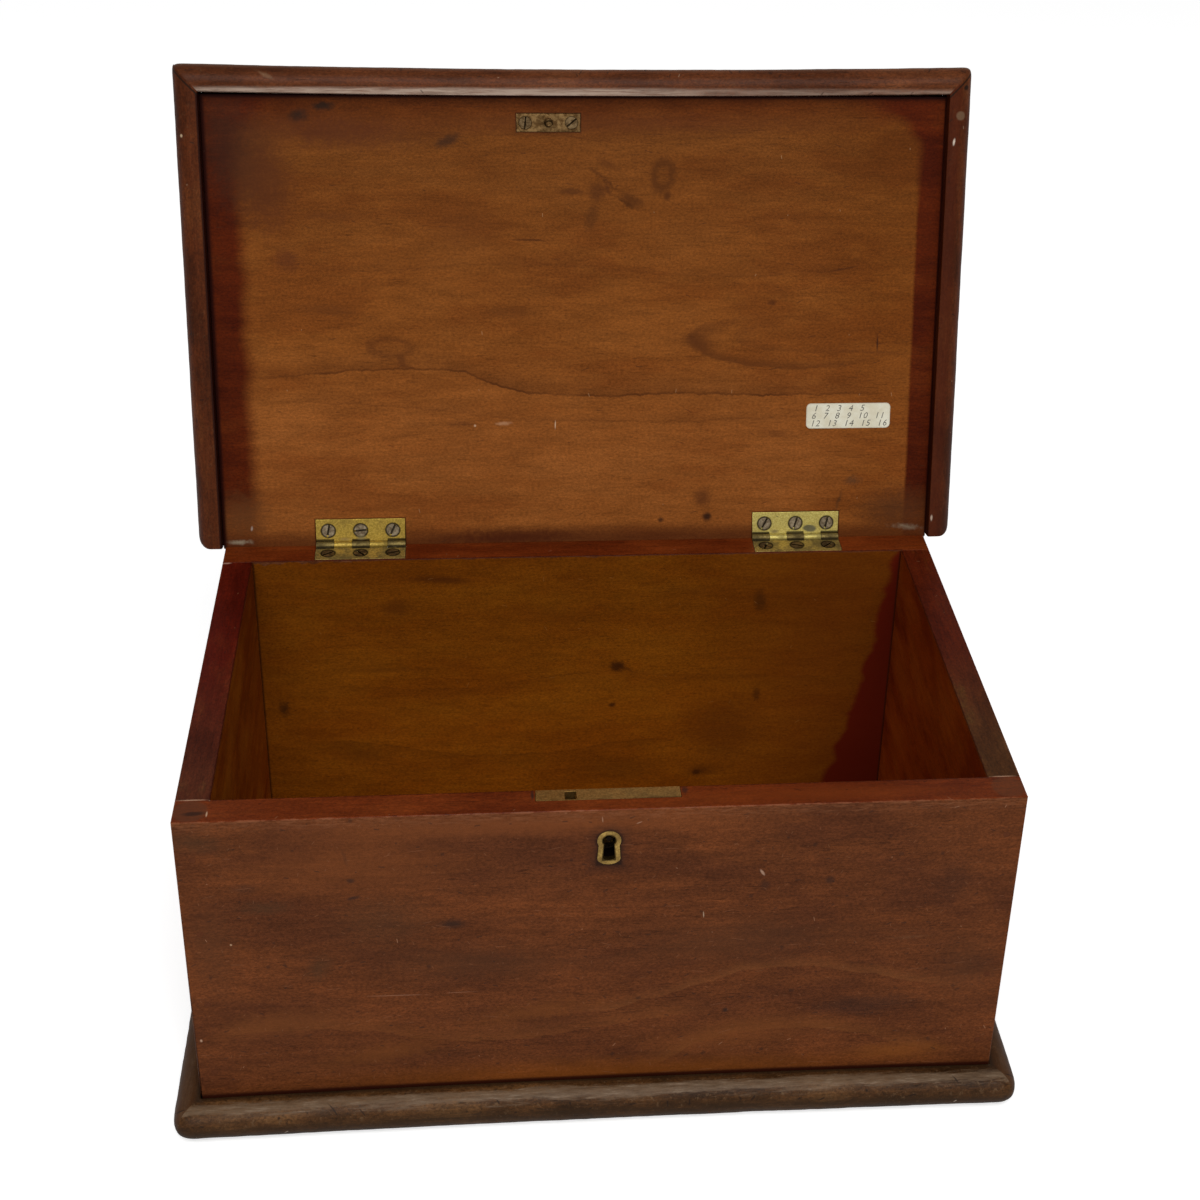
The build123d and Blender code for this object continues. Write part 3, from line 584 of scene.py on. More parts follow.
@dataclass
class WoodSkin:
    """The finish of one wooden piece: its figure, its stained and bare zones, wear, marks and relief."""

    name: str
    low: tuple[float, float, float]
    high: tuple[float, float, float]
    shared: Shared
    seed: float
    pith: tuple[float, float, float]
    ring_width: float = 3.0
    on_lid: bool = False
    grain_along_y: bool = False
    wear_width: float = 0.62
    rim_tint: WoodTint = RIM_RED
    inner_tint: WoodTint = GOLDEN
    face_lines: Sequence["GrainLine"] = ()
    keyhole: bool = False
    marks: Sequence[Mark] = ()
    face: Face = Face.FRONT

    def start(self) -> tuple[bpy.types.Material, Bench]:
        """Makes the empty material and the vectors that its patterns read."""
        material, bench = new_material(self.name)
        self.place = box_vector(bench, self.on_lid)
        self.grain = bench.put(
            "Mapping", {0: self.place, 2: (0.0, 0.0, math.pi / 2)}, vector_type="TEXTURE",
        ).outputs[0] if self.grain_along_y else self.place
        self.figure = bench.group(
            self.shared.figure, Vector=self.grain, Seed=self.seed, Pith=self.pith, Ring_Width=self.ring_width,
        )
        x, y, z = bench.split(self.place)
        self.x, self.y, self.z = x, y, z
        if self.face is Face.FRONT:
            home = bench.step(y, -1.0, 1.0, -PLAN.half_depth, PLAN.half_depth - PLAN.back_thick)
            across = bench.plus(x, bench.minus(y, home))
            self.flat = bench.joined(y if self.grain_along_y else across, z, 0.0)
        else:
            self.flat = bench.joined(x, y, 0.0)
        return material, bench

    def tinted(self, b: Bench, tint: WoodTint) -> Socket:
        """The figure in one treatment's colours."""
        out = self.figure.outputs
        lift = b.step(out["Clouds"], 0.35, 0.68)
        colour = b.mix(b.times(b.step(lift, 0.5, 1.0), tint.clouds), tint.base, tint.light)
        colour = b.mix(b.times(b.step(lift, 0.5, 0.0), tint.clouds), colour, tint.dark)
        streak = b.step(out["Fibres"], 0.3, 0.72, 1.0 - tint.fibres, 1.0 + tint.fibres)
        streak = b.times(streak, b.step(out["Specks"], 0.28, 0.72, 1.0 - tint.specks, 1.0 + tint.specks))
        streak = b.times(streak, b.step(out["Flames"], 0.32, 0.7, 1.0 + tint.flames, 1.0 - tint.flames))
        colour = b.mix(1.0, colour, b.joined(streak, streak, streak), "MULTIPLY")
        colour = b.mix(b.times(out["Rings"], tint.rings), colour, tint.dark)
        dot = tuple(part * 0.4 for part in tint.dark)
        return b.mix(b.times(out["Pores"], tint.pores), colour, dot)

    def marked(self, b: Bench, colour: Socket, zone: Value = 1.0) -> Socket:
        """Lays the piece's marks over a colour, inside a zone."""
        for mark in self.marks:
            amount = b.times(mark_amount(b, self.shared, self.flat, mark), zone)
            colour = b.mix(amount, colour, mark.colour)
        return colour

    def scratched(self, b: Bench, colour: Socket, *kinds: Scratch) -> Socket:
        """Scatters several kinds of fleck over a colour, one after another."""
        for kind in kinds:
            mask = b.group(
                self.shared.flecks, Vector=self.flat, Cell=kind.cell, Chance=kind.chance, Length=kind.length,
                Width=kind.width, Turn=kind.turn, Spread=kind.spread,
            ).outputs[0]
            colour = b.mix(b.times(mask, kind.strength), colour, kind.tone)
        return colour

    def rubbed(self, b: Bench, colour: Socket, tone: Colour = BARE, strength: float = 0.8) -> Socket:
        """Wears the stain off the arrises."""
        wear = b.group(
            self.shared.arris, Vector=self.place, Low=self.low, High=self.high, Width=self.wear_width,
        ).outputs[0]
        return b.mix(b.times(wear, strength), colour, tone)

    def finish(
        self, b: Bench, colour: Socket, rough: Value, relief: float = 1.0, specular: float = 0.05, coat: Value = 0.0,
    ) -> None:
        """Adds the relief and the shader."""
        out = self.figure.outputs
        height = b.times(out["Fibres"], 0.05 * relief)
        height = b.minus(height, b.times(out["Pores"], 0.05 * relief))
        height = b.plus(height, b.times(out["Clouds"], 0.25 * relief))
        bump = b.put("Bump", {"Height": height, "Distance": MM, "Strength": 0.9}).outputs[0]
        varied = b.maths("ADD", rough, b.times(b.minus(out["Fibres"], 0.5), 0.25), clamp=True)
        shade(b, colour, varied, 0.0, bump, specular, coat)


def new_material(name: str) -> tuple[bpy.types.Material, Bench]:
    """An empty node material and its bench."""
    material = bpy.data.materials.new(name)
    material.use_nodes = True
    material.node_tree.nodes.clear()
    return material, Bench(material.node_tree)


def box_vector(b: Bench, on_lid: bool) -> Socket:
    """The object coordinates in millimetres, on the lid as if it were closed."""
    where = b.put("TexCoord").outputs["Object"]
    feeds: dict[Union[int, str], Value] = {0: where, 3: (MM, MM, MM)}
    if on_lid:
        feeds[1] = tuple(PLAN.lid_turn().to_translation())
        feeds[2] = (math.radians(-PLAN.open_angle), 0.0, 0.0)
    return b.put("Mapping", feeds, vector_type="TEXTURE").outputs[0]


def shade(
    b: Bench, colour: Value, rough: Value, metallic: float, normal: Socket | None, specular: float = 0.5,
    coat: Value = 0.0,
) -> None:
    """Adds the principled shader and the output."""
    shader = b.put("BsdfPrincipled", {"Base Color": colour, "Roughness": rough, "Metallic": metallic})
    shader.inputs["Specular IOR Level"].default_value = specular
    shader.inputs["Coat Roughness"].default_value = 0.3
    b.feed(shader.inputs["Coat Weight"], coat)
    if normal is not None:
        b.feed(shader.inputs["Normal"], normal)
    out = b.put("OutputMaterial")
    b.tree.links.new(shader.outputs[0], out.inputs[0])


def inside_mask(b: Bench, skin: WoodSkin) -> Socket:
    """One on the faces that look into the box, with the stain's ragged edge near the rim."""
    p = PLAN
    ragged = b.drift(skin.place, 0.09, 5.0, 0.7)
    run = b.step(ragged, 0.45, 0.72, 0.5, b.step(skin.x, -150.0, -110.0, 3.2, 1.3))
    margin = 0.25
    x = b.minus(p.half_width - p.side_thick + margin, b.maths("ABSOLUTE", skin.x))
    front = b.minus(skin.y, -p.half_depth + p.front_thick - margin)
    back = b.minus(p.half_depth - p.back_thick + margin, skin.y)
    top = b.minus(b.minus(p.rim, run), skin.z)
    foot = b.minus(skin.z, p.bottom_thick - margin)
    least = b.maths("MINIMUM", b.maths("MINIMUM", x, front), b.maths("MINIMUM", back, foot))
    return b.times(b.step(least, 0.0, 0.05), b.step(top, -0.3, 0.3))


# Each mark gives its middle, half length, half width, colour, strength, turn, raggedness, core and hollow.
FRONT_MARKS = (
    Mark(-157.7, 139.1, 9.0, 4.0, DARK_STAIN, 0.35),
    Mark(-68.4, 115.3, 9.0, 4.2, DARK_STAIN, 0.75, ragged=0.9, core=0.0),
    Mark(-113.8, 154.0, 1.3, 7.0, DARK_STAIN, 0.5, 12.0, 1.0),
    Mark(122.0, 58.0, 34.0, 9.0, DARK_STAIN, 0.42, 3.0, 0.9),
    Mark(56.4, 57.8, 2.0, 2.0, DARK_STAIN, 0.8),
    Mark(100.4, 132.9, 3.0, 3.0, DARK_STAIN, 0.55),
    Mark(71.0, 131.4, 3.2, 4.0, DARK_STAIN, 0.45),
    cloud(-98.0, 118.0, 34.0, 22.0, DULL_STAIN, 0.35, 0.8),
    cloud(158.0, 128.0, 15.0, 22.0, DARK_STAIN, 0.22, 1.0),
    Mark(44.0, 115.6, 0.35, 2.3, (0.42, 0.3, 0.2), 0.75, 4.0, 0.2, 0.4),
    Mark(69.5, 138.6, 0.8, 2.6, (0.36, 0.22, 0.15), 0.8, 32.0, 0.2, 0.4),
    Mark(-94.0, 74.6, 16.0, 0.35, WARM_SCUFF, 0.4, -1.0, 1.6, 0.4),
    Mark(-66.0, 75.0, 9.0, 0.3, WARM_SCUFF, 0.35, 1.0, 1.8, 0.3),
    Mark(-183.0, 52.0, 0.8, 1.2, (0.45, 0.28, 0.18), 0.8),
    Mark(-165.6, 107.8, 0.7, 0.8, (0.5, 0.33, 0.2), 0.85),
    Mark(-2.3, 170.8, 0.35, 2.2, BARE_CHIP, 0.7, 6.0, 0.3, 0.4),
    Mark(13.8, 168.6, 1.8, 0.35, BARE_CHIP, 0.7, 24.0, 0.3, 0.4),
    Mark(140.0, 98.0, 16.0, 1.2, (0.2, 0.09, 0.04), 0.2, 2.0, 1.6, 0.0),
    cloud(0.0, 22.0, 190.0, 13.0, (0.185, 0.05, 0.0045), 0.5, 0.7),
    cloud(-40.0, 169.0, 150.0, 10.0, (0.185, 0.054, 0.015), 0.6, 0.8),
    cloud(-112.0, 150.0, 74.0, 24.0, (0.16, 0.046, 0.012), 0.45, 1.1),
    Mark(-178.0, 165.0, 22.0, 9.0, DULL_STAIN, 0.5, -8.0, 1.0, 0.0),
    cloud(-150.0, 128.0, 18.0, 6.0, DULL_STAIN, 0.5, 1.1),
    Mark(-112.0, 141.5, 2.6, 2.0, (0.035, 0.016, 0.01), 0.7, 0.0, 0.9),
    Mark(-111.0, 132.0, 4.5, 1.6, (0.03, 0.014, 0.01), 0.75, 12.0, 1.1),
    Mark(-148.0, 60.0, 40.0, 13.0, (0.15, 0.046, 0.012), 0.55, 8.0, 1.1, 0.0),
    Mark(-100.0, 40.0, 44.0, 10.0, RED_GLOW, 0.5, 12.0, 1.2, 0.0),
    Mark(-30.0, 62.0, 46.0, 9.0, RED_GLOW, 0.5, 10.0, 1.2, 0.0),
    Mark(60.0, 42.0, 60.0, 13.0, (0.15, 0.045, 0.011), 0.5, 6.0, 1.2, 0.0),
    cloud(140.0, 28.0, 34.0, 8.0, (0.185, 0.056, 0.009), 0.55, 1.0),
    Mark(-128.0, 92.0, 8.0, 12.0, DULL_STAIN, 0.5, -30.0, 1.2, 0.0),
    cloud(-60.0, 92.0, 60.0, 16.0, HAZE, 0.4, 1.1),
    cloud(60.0, 100.0, 70.0, 22.0, HAZE, 0.35, 1.1),
    cloud(168.0, 78.0, 24.0, 26.0, HAZE, 0.4, 1.1),
    cloud(-174.0, 104.0, 16.0, 40.0, HAZE, 0.4, 1.1),
)
BACK_MARKS = (
    Mark(20.0, 106.0, 6.0, 5.5, DEEP_SPOT, 0.85, 0.0, 1.0, 0.25),
    Mark(24.0, 105.0, 9.0, 1.6, (0.045, 0.012, 0.002), 0.6, -30.0, 0.8),
    Mark(17.7, 80.5, 3.0, 2.4, DEEP_SPOT, 0.8),
    cloud(-160.0, 84.0, 4.6, 8.0, (0.03, 0.012, 0.004), 0.7, 1.6),
    Mark(-75.0, 163.0, 24.0, 3.4, (0.07, 0.017, 0.002), 0.75, -4.0, 0.9),
    Mark(-98.0, 146.0, 12.0, 8.0, (0.085, 0.021, 0.002), 0.6, 0.0, 0.9),
    Mark(96.4, 146.4, 5.0, 10.0, (0.055, 0.015, 0.002), 0.7, 10.0, 0.9),
    Mark(97.5, 85.3, 3.0, 6.0, (0.05, 0.013, 0.002), 0.65, 0.0, 1.2),
    cloud(68.3, 34.4, 16.0, 6.0, (0.065, 0.016, 0.002), 0.6, 1.0),
    Mark(66.0, 33.0, 4.0, 3.0, (0.03, 0.008, 0.002), 0.7, 0.0, 0.8),
    cloud(20.0, 38.0, 40.0, 12.0, (0.09, 0.024, 0.002), 0.45, 1.0),
    cloud(80.0, 60.0, 34.0, 34.0, (0.085, 0.02, 0.002), 0.5, 1.0),
    Mark(-120.0, 52.0, 30.0, 10.0, (0.105, 0.028, 0.002), 0.5, -14.0, 0.9, 0.0),
    cloud(-104.0, 107.0, 40.0, 3.0, (0.1, 0.028, 0.002), 0.5, 1.1),
    cloud(-14.0, 141.0, 22.0, 9.0, (0.12, 0.034, 0.002), 0.4, 1.1),
    cloud(60.0, 153.0, 30.0, 5.0, (0.11, 0.03, 0.002), 0.4, 1.1),
)
LID_MARKS = (
    Mark(-139.4, -107.5, 7.0, 4.2, INK_SPOT, 0.92, -6.0, 0.9),
    Mark(-127.0, -112.3, 8.0, 3.4, INK_SPOT, 0.85, -3.0, 0.9),
    Mark(-66.4, -95.4, 9.5, 4.2, (0.034, 0.014, 0.007), 0.75, -24.0, 0.8),
    Mark(42.4, -78.3, 8.2, 12.0, BROWN_SPOT, 0.72, 8.0, 0.6, 0.5, 0.6),
    Mark(44.6, -67.6, 2.8, 3.6, (0.06, 0.017, 0.004), 0.75, 20.0, 0.6),
    Mark(14.5, -71.0, 5.0, 1.8, (0.07, 0.02, 0.005), 0.65, 58.0, 0.9),
    Mark(8.0, -80.0, 6.0, 1.5, (0.075, 0.022, 0.005), 0.6, 35.0, 0.9),
    Mark(26.0, -65.9, 9.5, 4.8, BROWN_SPOT, 0.72, 30.0, 1.0, 0.2),
    Mark(23.0, -64.5, 8.5, 1.4, (0.048, 0.014, 0.003), 0.6, 32.0, 1.0),
    Mark(9.0, -70.0, 7.0, 7.0, (0.066, 0.019, 0.005), 0.65, -14.0, 1.1),
    Mark(15.0, -74.0, 8.0, 1.5, (0.06, 0.017, 0.004), 0.55, 42.0, 1.0),
    Mark(6.0, -57.0, 5.0, 11.0, (0.075, 0.023, 0.005), 0.55, 12.0, 0.9),
    Mark(-4.0, -70.0, 10.0, 2.4, (0.062, 0.018, 0.005), 0.6, 4.0, 0.9),
    Mark(14.0, -84.0, 10.0, 3.0, (0.085, 0.024, 0.005), 0.5, 24.0, 0.9),
    Mark(156.4, 9.5, 0.7, 6.5, (0.03, 0.01, 0.005), 0.8, 0.0, 0.4),
    Mark(67.8, 103.0, 3.6, 3.8, BLACK_SPOT, 0.9),
    Mark(43.0, 104.5, 2.2, 2.0, BLACK_SPOT, 0.75),
    Mark(65.0, 92.5, 6.5, 7.5, (0.072, 0.02, 0.006), 0.65, 0.0, 0.8),
    Mark(-173.0, -92.0, 24.0, 46.0, (0.034, 0.012, 0.006), 0.72, -6.0, 0.8, 0.1),
    Mark(-158.0, -76.0, 21.0, 37.0, (0.076, 0.02, 0.006), 0.7, -4.0, 1.0, 0.15),
    Mark(-122.0, -100.0, 66.0, 13.0, (0.08, 0.021, 0.007), 0.75, 3.0, 1.2, 0.0),
    Mark(-148.0, -36.0, 10.0, 9.0, (0.085, 0.022, 0.007), 0.6, 20.0, 1.2, 0.0),
    cloud(20.0, -104.0, 170.0, 8.0, (0.086, 0.022, 0.006), 0.55, 1.0),
    Mark(-97.0, 9.5, 15.0, 6.4, (0.082, 0.023, 0.005), 0.5, 4.0, 0.5, 0.6, 0.75),
    Mark(-92.0, 16.0, 3.0, 4.5, BROWN_SMEAR, 0.55, -30.0, 0.8, 0.2),
    Mark(-90.0, 19.5, 8.0, 2.0, OVAL_BROWN, 0.5, 20.0, 0.8, 0.2),
    Mark(-128.0, -10.0, 22.0, 4.0, FAINT_SMEAR, 0.5, 6.0, 1.2, 0.2),
    Mark(-36.0, -8.0, 20.0, 5.0, FAINT_SMEAR, 0.45, 0.0, 1.2, 0.2),
    Mark(60.5, 8.5, 12.0, 7.0, OVAL_BROWN, 0.45, 20.0, 0.9, 0.1),
    cloud(-60.0, -50.0, 26.0, 16.0, (0.11, 0.031, 0.006), 0.4, 1.3),
    Mark(-128.0, -58.0, 24.0, 3.0, (0.1, 0.028, 0.006), 0.5, 2.0, 1.2, 0.1),
    cloud(-178.5, 113.0, 9.0, 2.0, (0.36, 0.31, 0.21), 0.6, 1.6),
    Mark(176.0, 110.5, 11.0, 2.6, (0.3, 0.25, 0.17), 0.5, 4.0, 1.7, 0.0),
    Mark(-172.0, 105.5, 0.8, 1.8, (0.6, 0.5, 0.42), 0.8, 8.0),
    Mark(-13.0, 51.5, 0.4, 3.2, (0.6, 0.42, 0.27), 0.85, 2.0, 0.3),
    Mark(-40.0, 50.5, 6.5, 1.4, (0.44, 0.23, 0.12), 0.6, 0.0, 1.8),
    Mark(-54.8, 51.5, 0.9, 0.9, (0.55, 0.36, 0.22), 0.8),
    Mark(-62.0, 50.5, 10.0, 2.4, BROWN_SMEAR, 0.5, 0.0, 1.2),
    Mark(150.0, 14.0, 34.0, 1.6, BROWN_SMEAR, 0.35, 3.0, 0.7, 0.0),
    Mark(104.0, 57.5, 15.0, 3.0, BROWN_SMEAR, 0.45, 8.0, 1.3, 0.0),
    cloud(146.0, 84.0, 7.0, 4.0, (0.05, 0.03, 0.016), 0.55, 1.5),
    Mark(139.0, 95.0, 1.4, 9.0, (0.045, 0.02, 0.008), 0.6, 14.0, 1.2, 0.1),
    Mark(-25.0, -45.5, 13.0, 0.9, BROWN_LINE, 0.75, 2.0, 1.0),
    Mark(137.0, -30.0, 12.0, 0.8, BROWN_LINE, 0.7, -10.0, 1.0),
    Mark(100.0, -12.5, 3.5, 2.6, BROWN_LINE, 0.7, 0.0, 1.2),
    cloud(17.0, 112.0, 200.0, 8.0, (0.06, 0.013, 0.004), 0.35, 1.2),
    cloud(-36.0, 112.5, 54.0, 6.5, (0.05, 0.009, 0.003), 0.75, 1.2),
    cloud(-176.0, 98.0, 20.0, 20.0, (0.098, 0.034, 0.01), 0.7, 1.2),
    cloud(168.0, 100.0, 30.0, 18.0, (0.06, 0.021, 0.008), 0.6, 1.2),
)


@dataclass(frozen=True)
class GrainLine:
    """One long line of the figure: its heights at even steps of x, its ends, fade, strength and colour."""

    heights: Sequence[float]
    start: float = LINE_START
    end: float = LINE_END
    fade: float = 10.0
    strength: float = 1.0
    edge: float = 0.5
    colour: Colour = (0.07, 0.019, 0.004)


LID_LINES = (
    GrainLine((25.5, 24.0, 21.5, 21.5, 29.5, 35.5, 36.5, 35.5, 36.5, 37.0, 36.5, 36.0), -186.0, fade=13.0),
    GrainLine((37.0, 38.5, 40.0, 43.0, 47.0, 49.5, 50.0, 51.0, 50.0, 49.0, 49.0, 48.0), fade=6.0, strength=0.4),
    GrainLine(
        (-34.0, -33.0, -30.0, -31.0, -33.0, -32.0, -30.0, -27.0, -26.0, -28.0, -29.0, -30.0), fade=9.0, strength=0.35,
    ),
    GrainLine(
        (-96.0, -97.0, -95.0, -97.0, -98.0, -98.0, -95.0, -96.0, -97.0, -96.0, -97.0, -97.0), -110.0, 110.0, 7.0, 0.5,
        0.4,
    ),
)
FRONT_LINES = (
    GrainLine(
        (30.0, 31.0, 33.0, 31.0, 27.0, 22.0, 25.0, 40.0, 45.0, 42.0, 31.0, 25.0), 10.0, 170.0, -12.0, 0.8, 0.05,
        (0.18, 0.06, 0.014),
    ),
    GrainLine(
        (58.0, 60.0, 62.0, 64.0, 64.0, 60.0, 66.0, 76.0, 83.0, 79.0, 71.0, 64.0), -20.0, 176.0, -8.0, 0.9, 0.08,
        (0.18, 0.062, 0.018),
    ),
    GrainLine(
        (52.0, 56.0, 54.0, 47.0, 45.0, 49.0, 54.0, 58.0, 62.0, 60.0, 56.0, 54.0), -186.0, 60.0, -13.0, 0.8, 0.05,
        (0.175, 0.056, 0.014),
    ),
    GrainLine(
        (98.0, 100.0, 103.0, 100.0, 95.0, 93.0, 97.0, 102.0, 106.0, 107.0, 103.0, 100.0), -186.0, 186.0, 16.0, 0.55,
        0.15, (0.062, 0.021, 0.008),
    ),
    GrainLine(
        (36.0, 35.0, 39.0, 41.0, 38.0, 33.0, 34.0, 31.0, 28.0, 30.0, 35.0, 33.0), -186.0, 120.0, 9.0, 0.5, 0.2,
        (0.062, 0.021, 0.007),
    ),
)
BACK_LINES = (
    GrainLine(
        (60.0, 61.0, 58.0, 52.0, 49.0, 50.0, 55.0, 57.0, 54.0, 50.0, 50.0, 51.0), -160.0, 60.0, 12.0, 0.6, 0.35,
        (0.08, 0.022, 0.002),
    ),
    GrainLine(
        (96.0, 97.0, 96.0, 94.0, 96.0, 101.0, 103.0, 100.0, 99.0, 97.0, 96.0, 97.0), -160.0, 170.0, 9.0, 0.45, 0.3,
        (0.08, 0.022, 0.002),
    ),
)
LID_OVALS = (
    Mark(112.0, 8.0, 55.0, 15.0, (0.082, 0.023, 0.005), 0.62, 2.0, core=0.66),
    Mark(-96.5, 9.5, 14.5, 6.2, (0.08, 0.023, 0.005), 0.3, 4.0, core=0.35),
    Mark(120.0, 6.0, 40.0, 9.0, (0.095, 0.028, 0.006), 0.3, 2.0, core=0.6),
)
EDGE_MARKS = (
    Mark(195.7, -123.0, 1.6, 1.6, (0.01, 0.005, 0.003), 0.9, 0.0, 0.2, 0.5),
    Mark(193.3, -109.0, 2.8, 2.8, (0.15, 0.09, 0.05), 0.7, 0.0, 0.3, 0.6),
    Mark(190.4, -95.8, 0.8, 2.4, (0.6, 0.5, 0.4), 0.85, 8.0, 0.5, 0.3),
    Mark(-196.0, -98.2, 0.9, 1.2, (0.5, 0.36, 0.22), 0.8, 0.0, 0.6, 0.3),
    Mark(188.6, 104.0, 0.8, 2.4, (0.55, 0.42, 0.32), 0.7, 0.0, 0.6, 0.3),
    Mark(-154.0, -127.5, 6.0, 1.2, (0.16, 0.08, 0.04), 0.7, 24.0, 0.8, 0.2),
)
TOP_MARKS = (
    Mark(-178.8, -109.2, 8.5, 8.5, (0.09, 0.032, 0.014), 0.6, 0.0, 0.2, 0.75),
    Mark(178.8, -109.2, 8.5, 8.5, (0.095, 0.034, 0.014), 0.5, 0.0, 0.2, 0.75),
    Mark(96.0, -110.0, 92.0, 9.0, (0.182, 0.036, 0.005), 0.45, 0.0, 0.5, 0.1),
    Mark(-171.4, -111.5, 0.5, 2.4, PALE_CHIP, 0.8, 0.0, 0.5, 0.4),
    Mark(-171.2, -101.8, 0.5, 0.5, PALE_CHIP, 0.8),
    Mark(-177.0, -111.0, 6.5, 2.0, (0.02, 0.009, 0.006), 0.75, 2.0, 0.6, 0.4),
    Mark(-32.4, -105.0, 1.0, 5.0, DARK_STAIN, 0.8, 0.0, 0.5),
    Mark(34.5, -104.5, 2.2, 3.5, DARK_STAIN, 0.7, 0.0, 0.9),
    Mark(-184.0, 99.0, 3.5, 1.0, (0.4, 0.24, 0.17), 0.8, 4.0, 0.8),
    Mark(-179.0, -101.3, 9.0, 0.6, PALE_SCUFF, 0.8, 0.0, 0.9),
    Mark(178.0, -101.3, 7.0, 0.6, PALE_SCUFF, 0.7, 0.0, 0.9),
)


def dress_case_board(skin: WoodSkin, extra: Sequence[Mark] = ()) -> bpy.types.Material:
    """The carcase boards: red-brown stain outside, redder rims, and golden bare wood inside.

    Args:
        skin: the board's place, figure and marks, which lie on its long faces.
        extra: marks kept to the inner face.

    Returns:
        The material.
    """
    material, b = skin.start()
    outside = skin.tinted(b, STAINED)
    if skin.face_lines:
        outside = grain_lines(b, skin, outside, skin.face_lines, skin.z)
    outside = skin.marked(b, outside)
    outside = skin.scratched(b, outside, *OUTER_SCRATCHES)
    bow = b.minus(1.0, b.maths("POWER", b.maths("DIVIDE", skin.x, PLAN.half_width + PLAN.moulding_reach), 2.0))
    above = b.minus(b.minus(skin.z, PLAN.moulding_height), b.times(bow, PLAN.foot_crown))
    # Grime and painted shade in the seam just above the foot moulding, following its crown.
    behind = b.step(skin.y, PLAN.half_depth - 4.0, PLAN.half_depth - 2.0, 1.0, 0.0)
    outside = b.mix(b.times(behind, b.step(above, 0.6, 2.6, 0.95, 0.0)), outside, SEAM_GRIME_AND_SHADE)
    broken = b.drift(b.scaled(skin.place, (0.12, 0.12, 0.9)), 1.0, 5.0, 0.75)
    brow = b.times(b.step(skin.z, PLAN.rim - 8.0, PLAN.rim - 1.0), b.step(broken, 0.42, 0.66, 0.0, 0.6))
    outside = b.mix(brow, outside, WORN_BROW)
    rim = dress_rim(b, skin)
    on_rim = b.step(skin.z, PLAN.rim - 0.55, PLAN.rim - 0.12)
    colour = b.mix(on_rim, outside, rim)
    colour = skin.rubbed(b, colour, BARE, 0.5)
    inside = skin.tinted(b, skin.inner_tint)
    # Painted light: the inner faces are paler towards the bottom, against the shade the walls cast, and darker near the
    # rim.
    lift = b.step(skin.z, 20.0, 170.0, 1.3, 0.9)
    inside = b.mix(1.0, inside, b.joined(lift, lift, lift), "MULTIPLY")
    if extra:
        inside = b.mix(b.step(skin.x, 40.0, 150.0, 0.0, 0.55), inside, AMBER_SHADE)
        inside = grain_lines(b, skin, inside, BACK_LINES, skin.z)
    skin.marks = extra
    inside = skin.marked(b, inside)
    inside = skin.scratched(b, inside, *INNER_SCRATCHES)
    inside = b.mix(stain_wedge(b, skin), inside, RED_STAIN) if extra else inside
    # Painted shade: a dark line down the inner corners of the front and back boards.
    corner = b.step(b.minus(PLAN.half_width - PLAN.side_thick, b.maths("ABSOLUTE", skin.x)), 0.2, 1.4, 0.8, 0.0)
    inside = b.mix(corner, inside, CORNER_SHADE) if not skin.grain_along_y else inside
    inward = inside_mask(b, skin)
    colour = b.mix(inward, colour, inside)
    if skin.keyhole:
        colour = keyhole_grime_and_shade(b, skin, colour)
    rough = b.plus(b.step(on_rim, 0.0, 1.0, STAINED.rough, skin.rim_tint.rough), b.times(inward, 0.1))
    sheen = b.times(on_rim, b.step(skin.y, -110.0, 20.0, 0.08, 0.03))
    skin.finish(b, colour, rough, coat=sheen)
    return material


def dress_rim(b: Bench, skin: WoodSkin) -> Socket:
    """The rim's colour: redder than the sides, browner to the front as a painted sheen, with a dark line along the
    inner arris.
    """
    p = PLAN
    rim = skin.tinted(b, skin.rim_tint)
    if skin.rim_tint is RIM_DARK:
        # Painted sheen: the side rims turn browner and paler towards the front, in place of a reflection.
        rim = b.mix(b.step(skin.y, 20.0, -100.0, 0.0, 0.75), rim, b.mix(1.0, rim, RIM_SHEEN_TINT, "MULTIPLY"))
        rim = b.mix(b.step(skin.x, 0.0, 1.0, 0.0, 0.8), rim, b.mix(1.0, rim, RIM_WARMER, "MULTIPLY"))
    held = skin.flat, skin.marks
    skin.flat, skin.marks = b.joined(skin.x, skin.y, 0.0), TOP_MARKS
    rim = skin.marked(b, rim)
    rim = skin.scratched(b, rim, RIM_CHIPS, replace(RIM_STREAKS, turn=90.0 if skin.grain_along_y else 0.0))
    skin.flat, skin.marks = held
    x = b.minus(b.maths("ABSOLUTE", skin.x), p.half_width - p.side_thick)
    y = b.maths("MAXIMUM", b.minus(-p.half_depth + p.front_thick, skin.y), b.minus(skin.y, p.half_depth - p.back_thick))
    ragged = b.drift(skin.place, 0.25, 4.0, 0.7)
    width = b.step(ragged, 0.35, 0.65, 0.35, 1.1)
    return b.mix(b.step(b.maths("MAXIMUM", x, y), b.times(width, 0.6), width, 0.7, 0.0), rim, RIM_LINE)


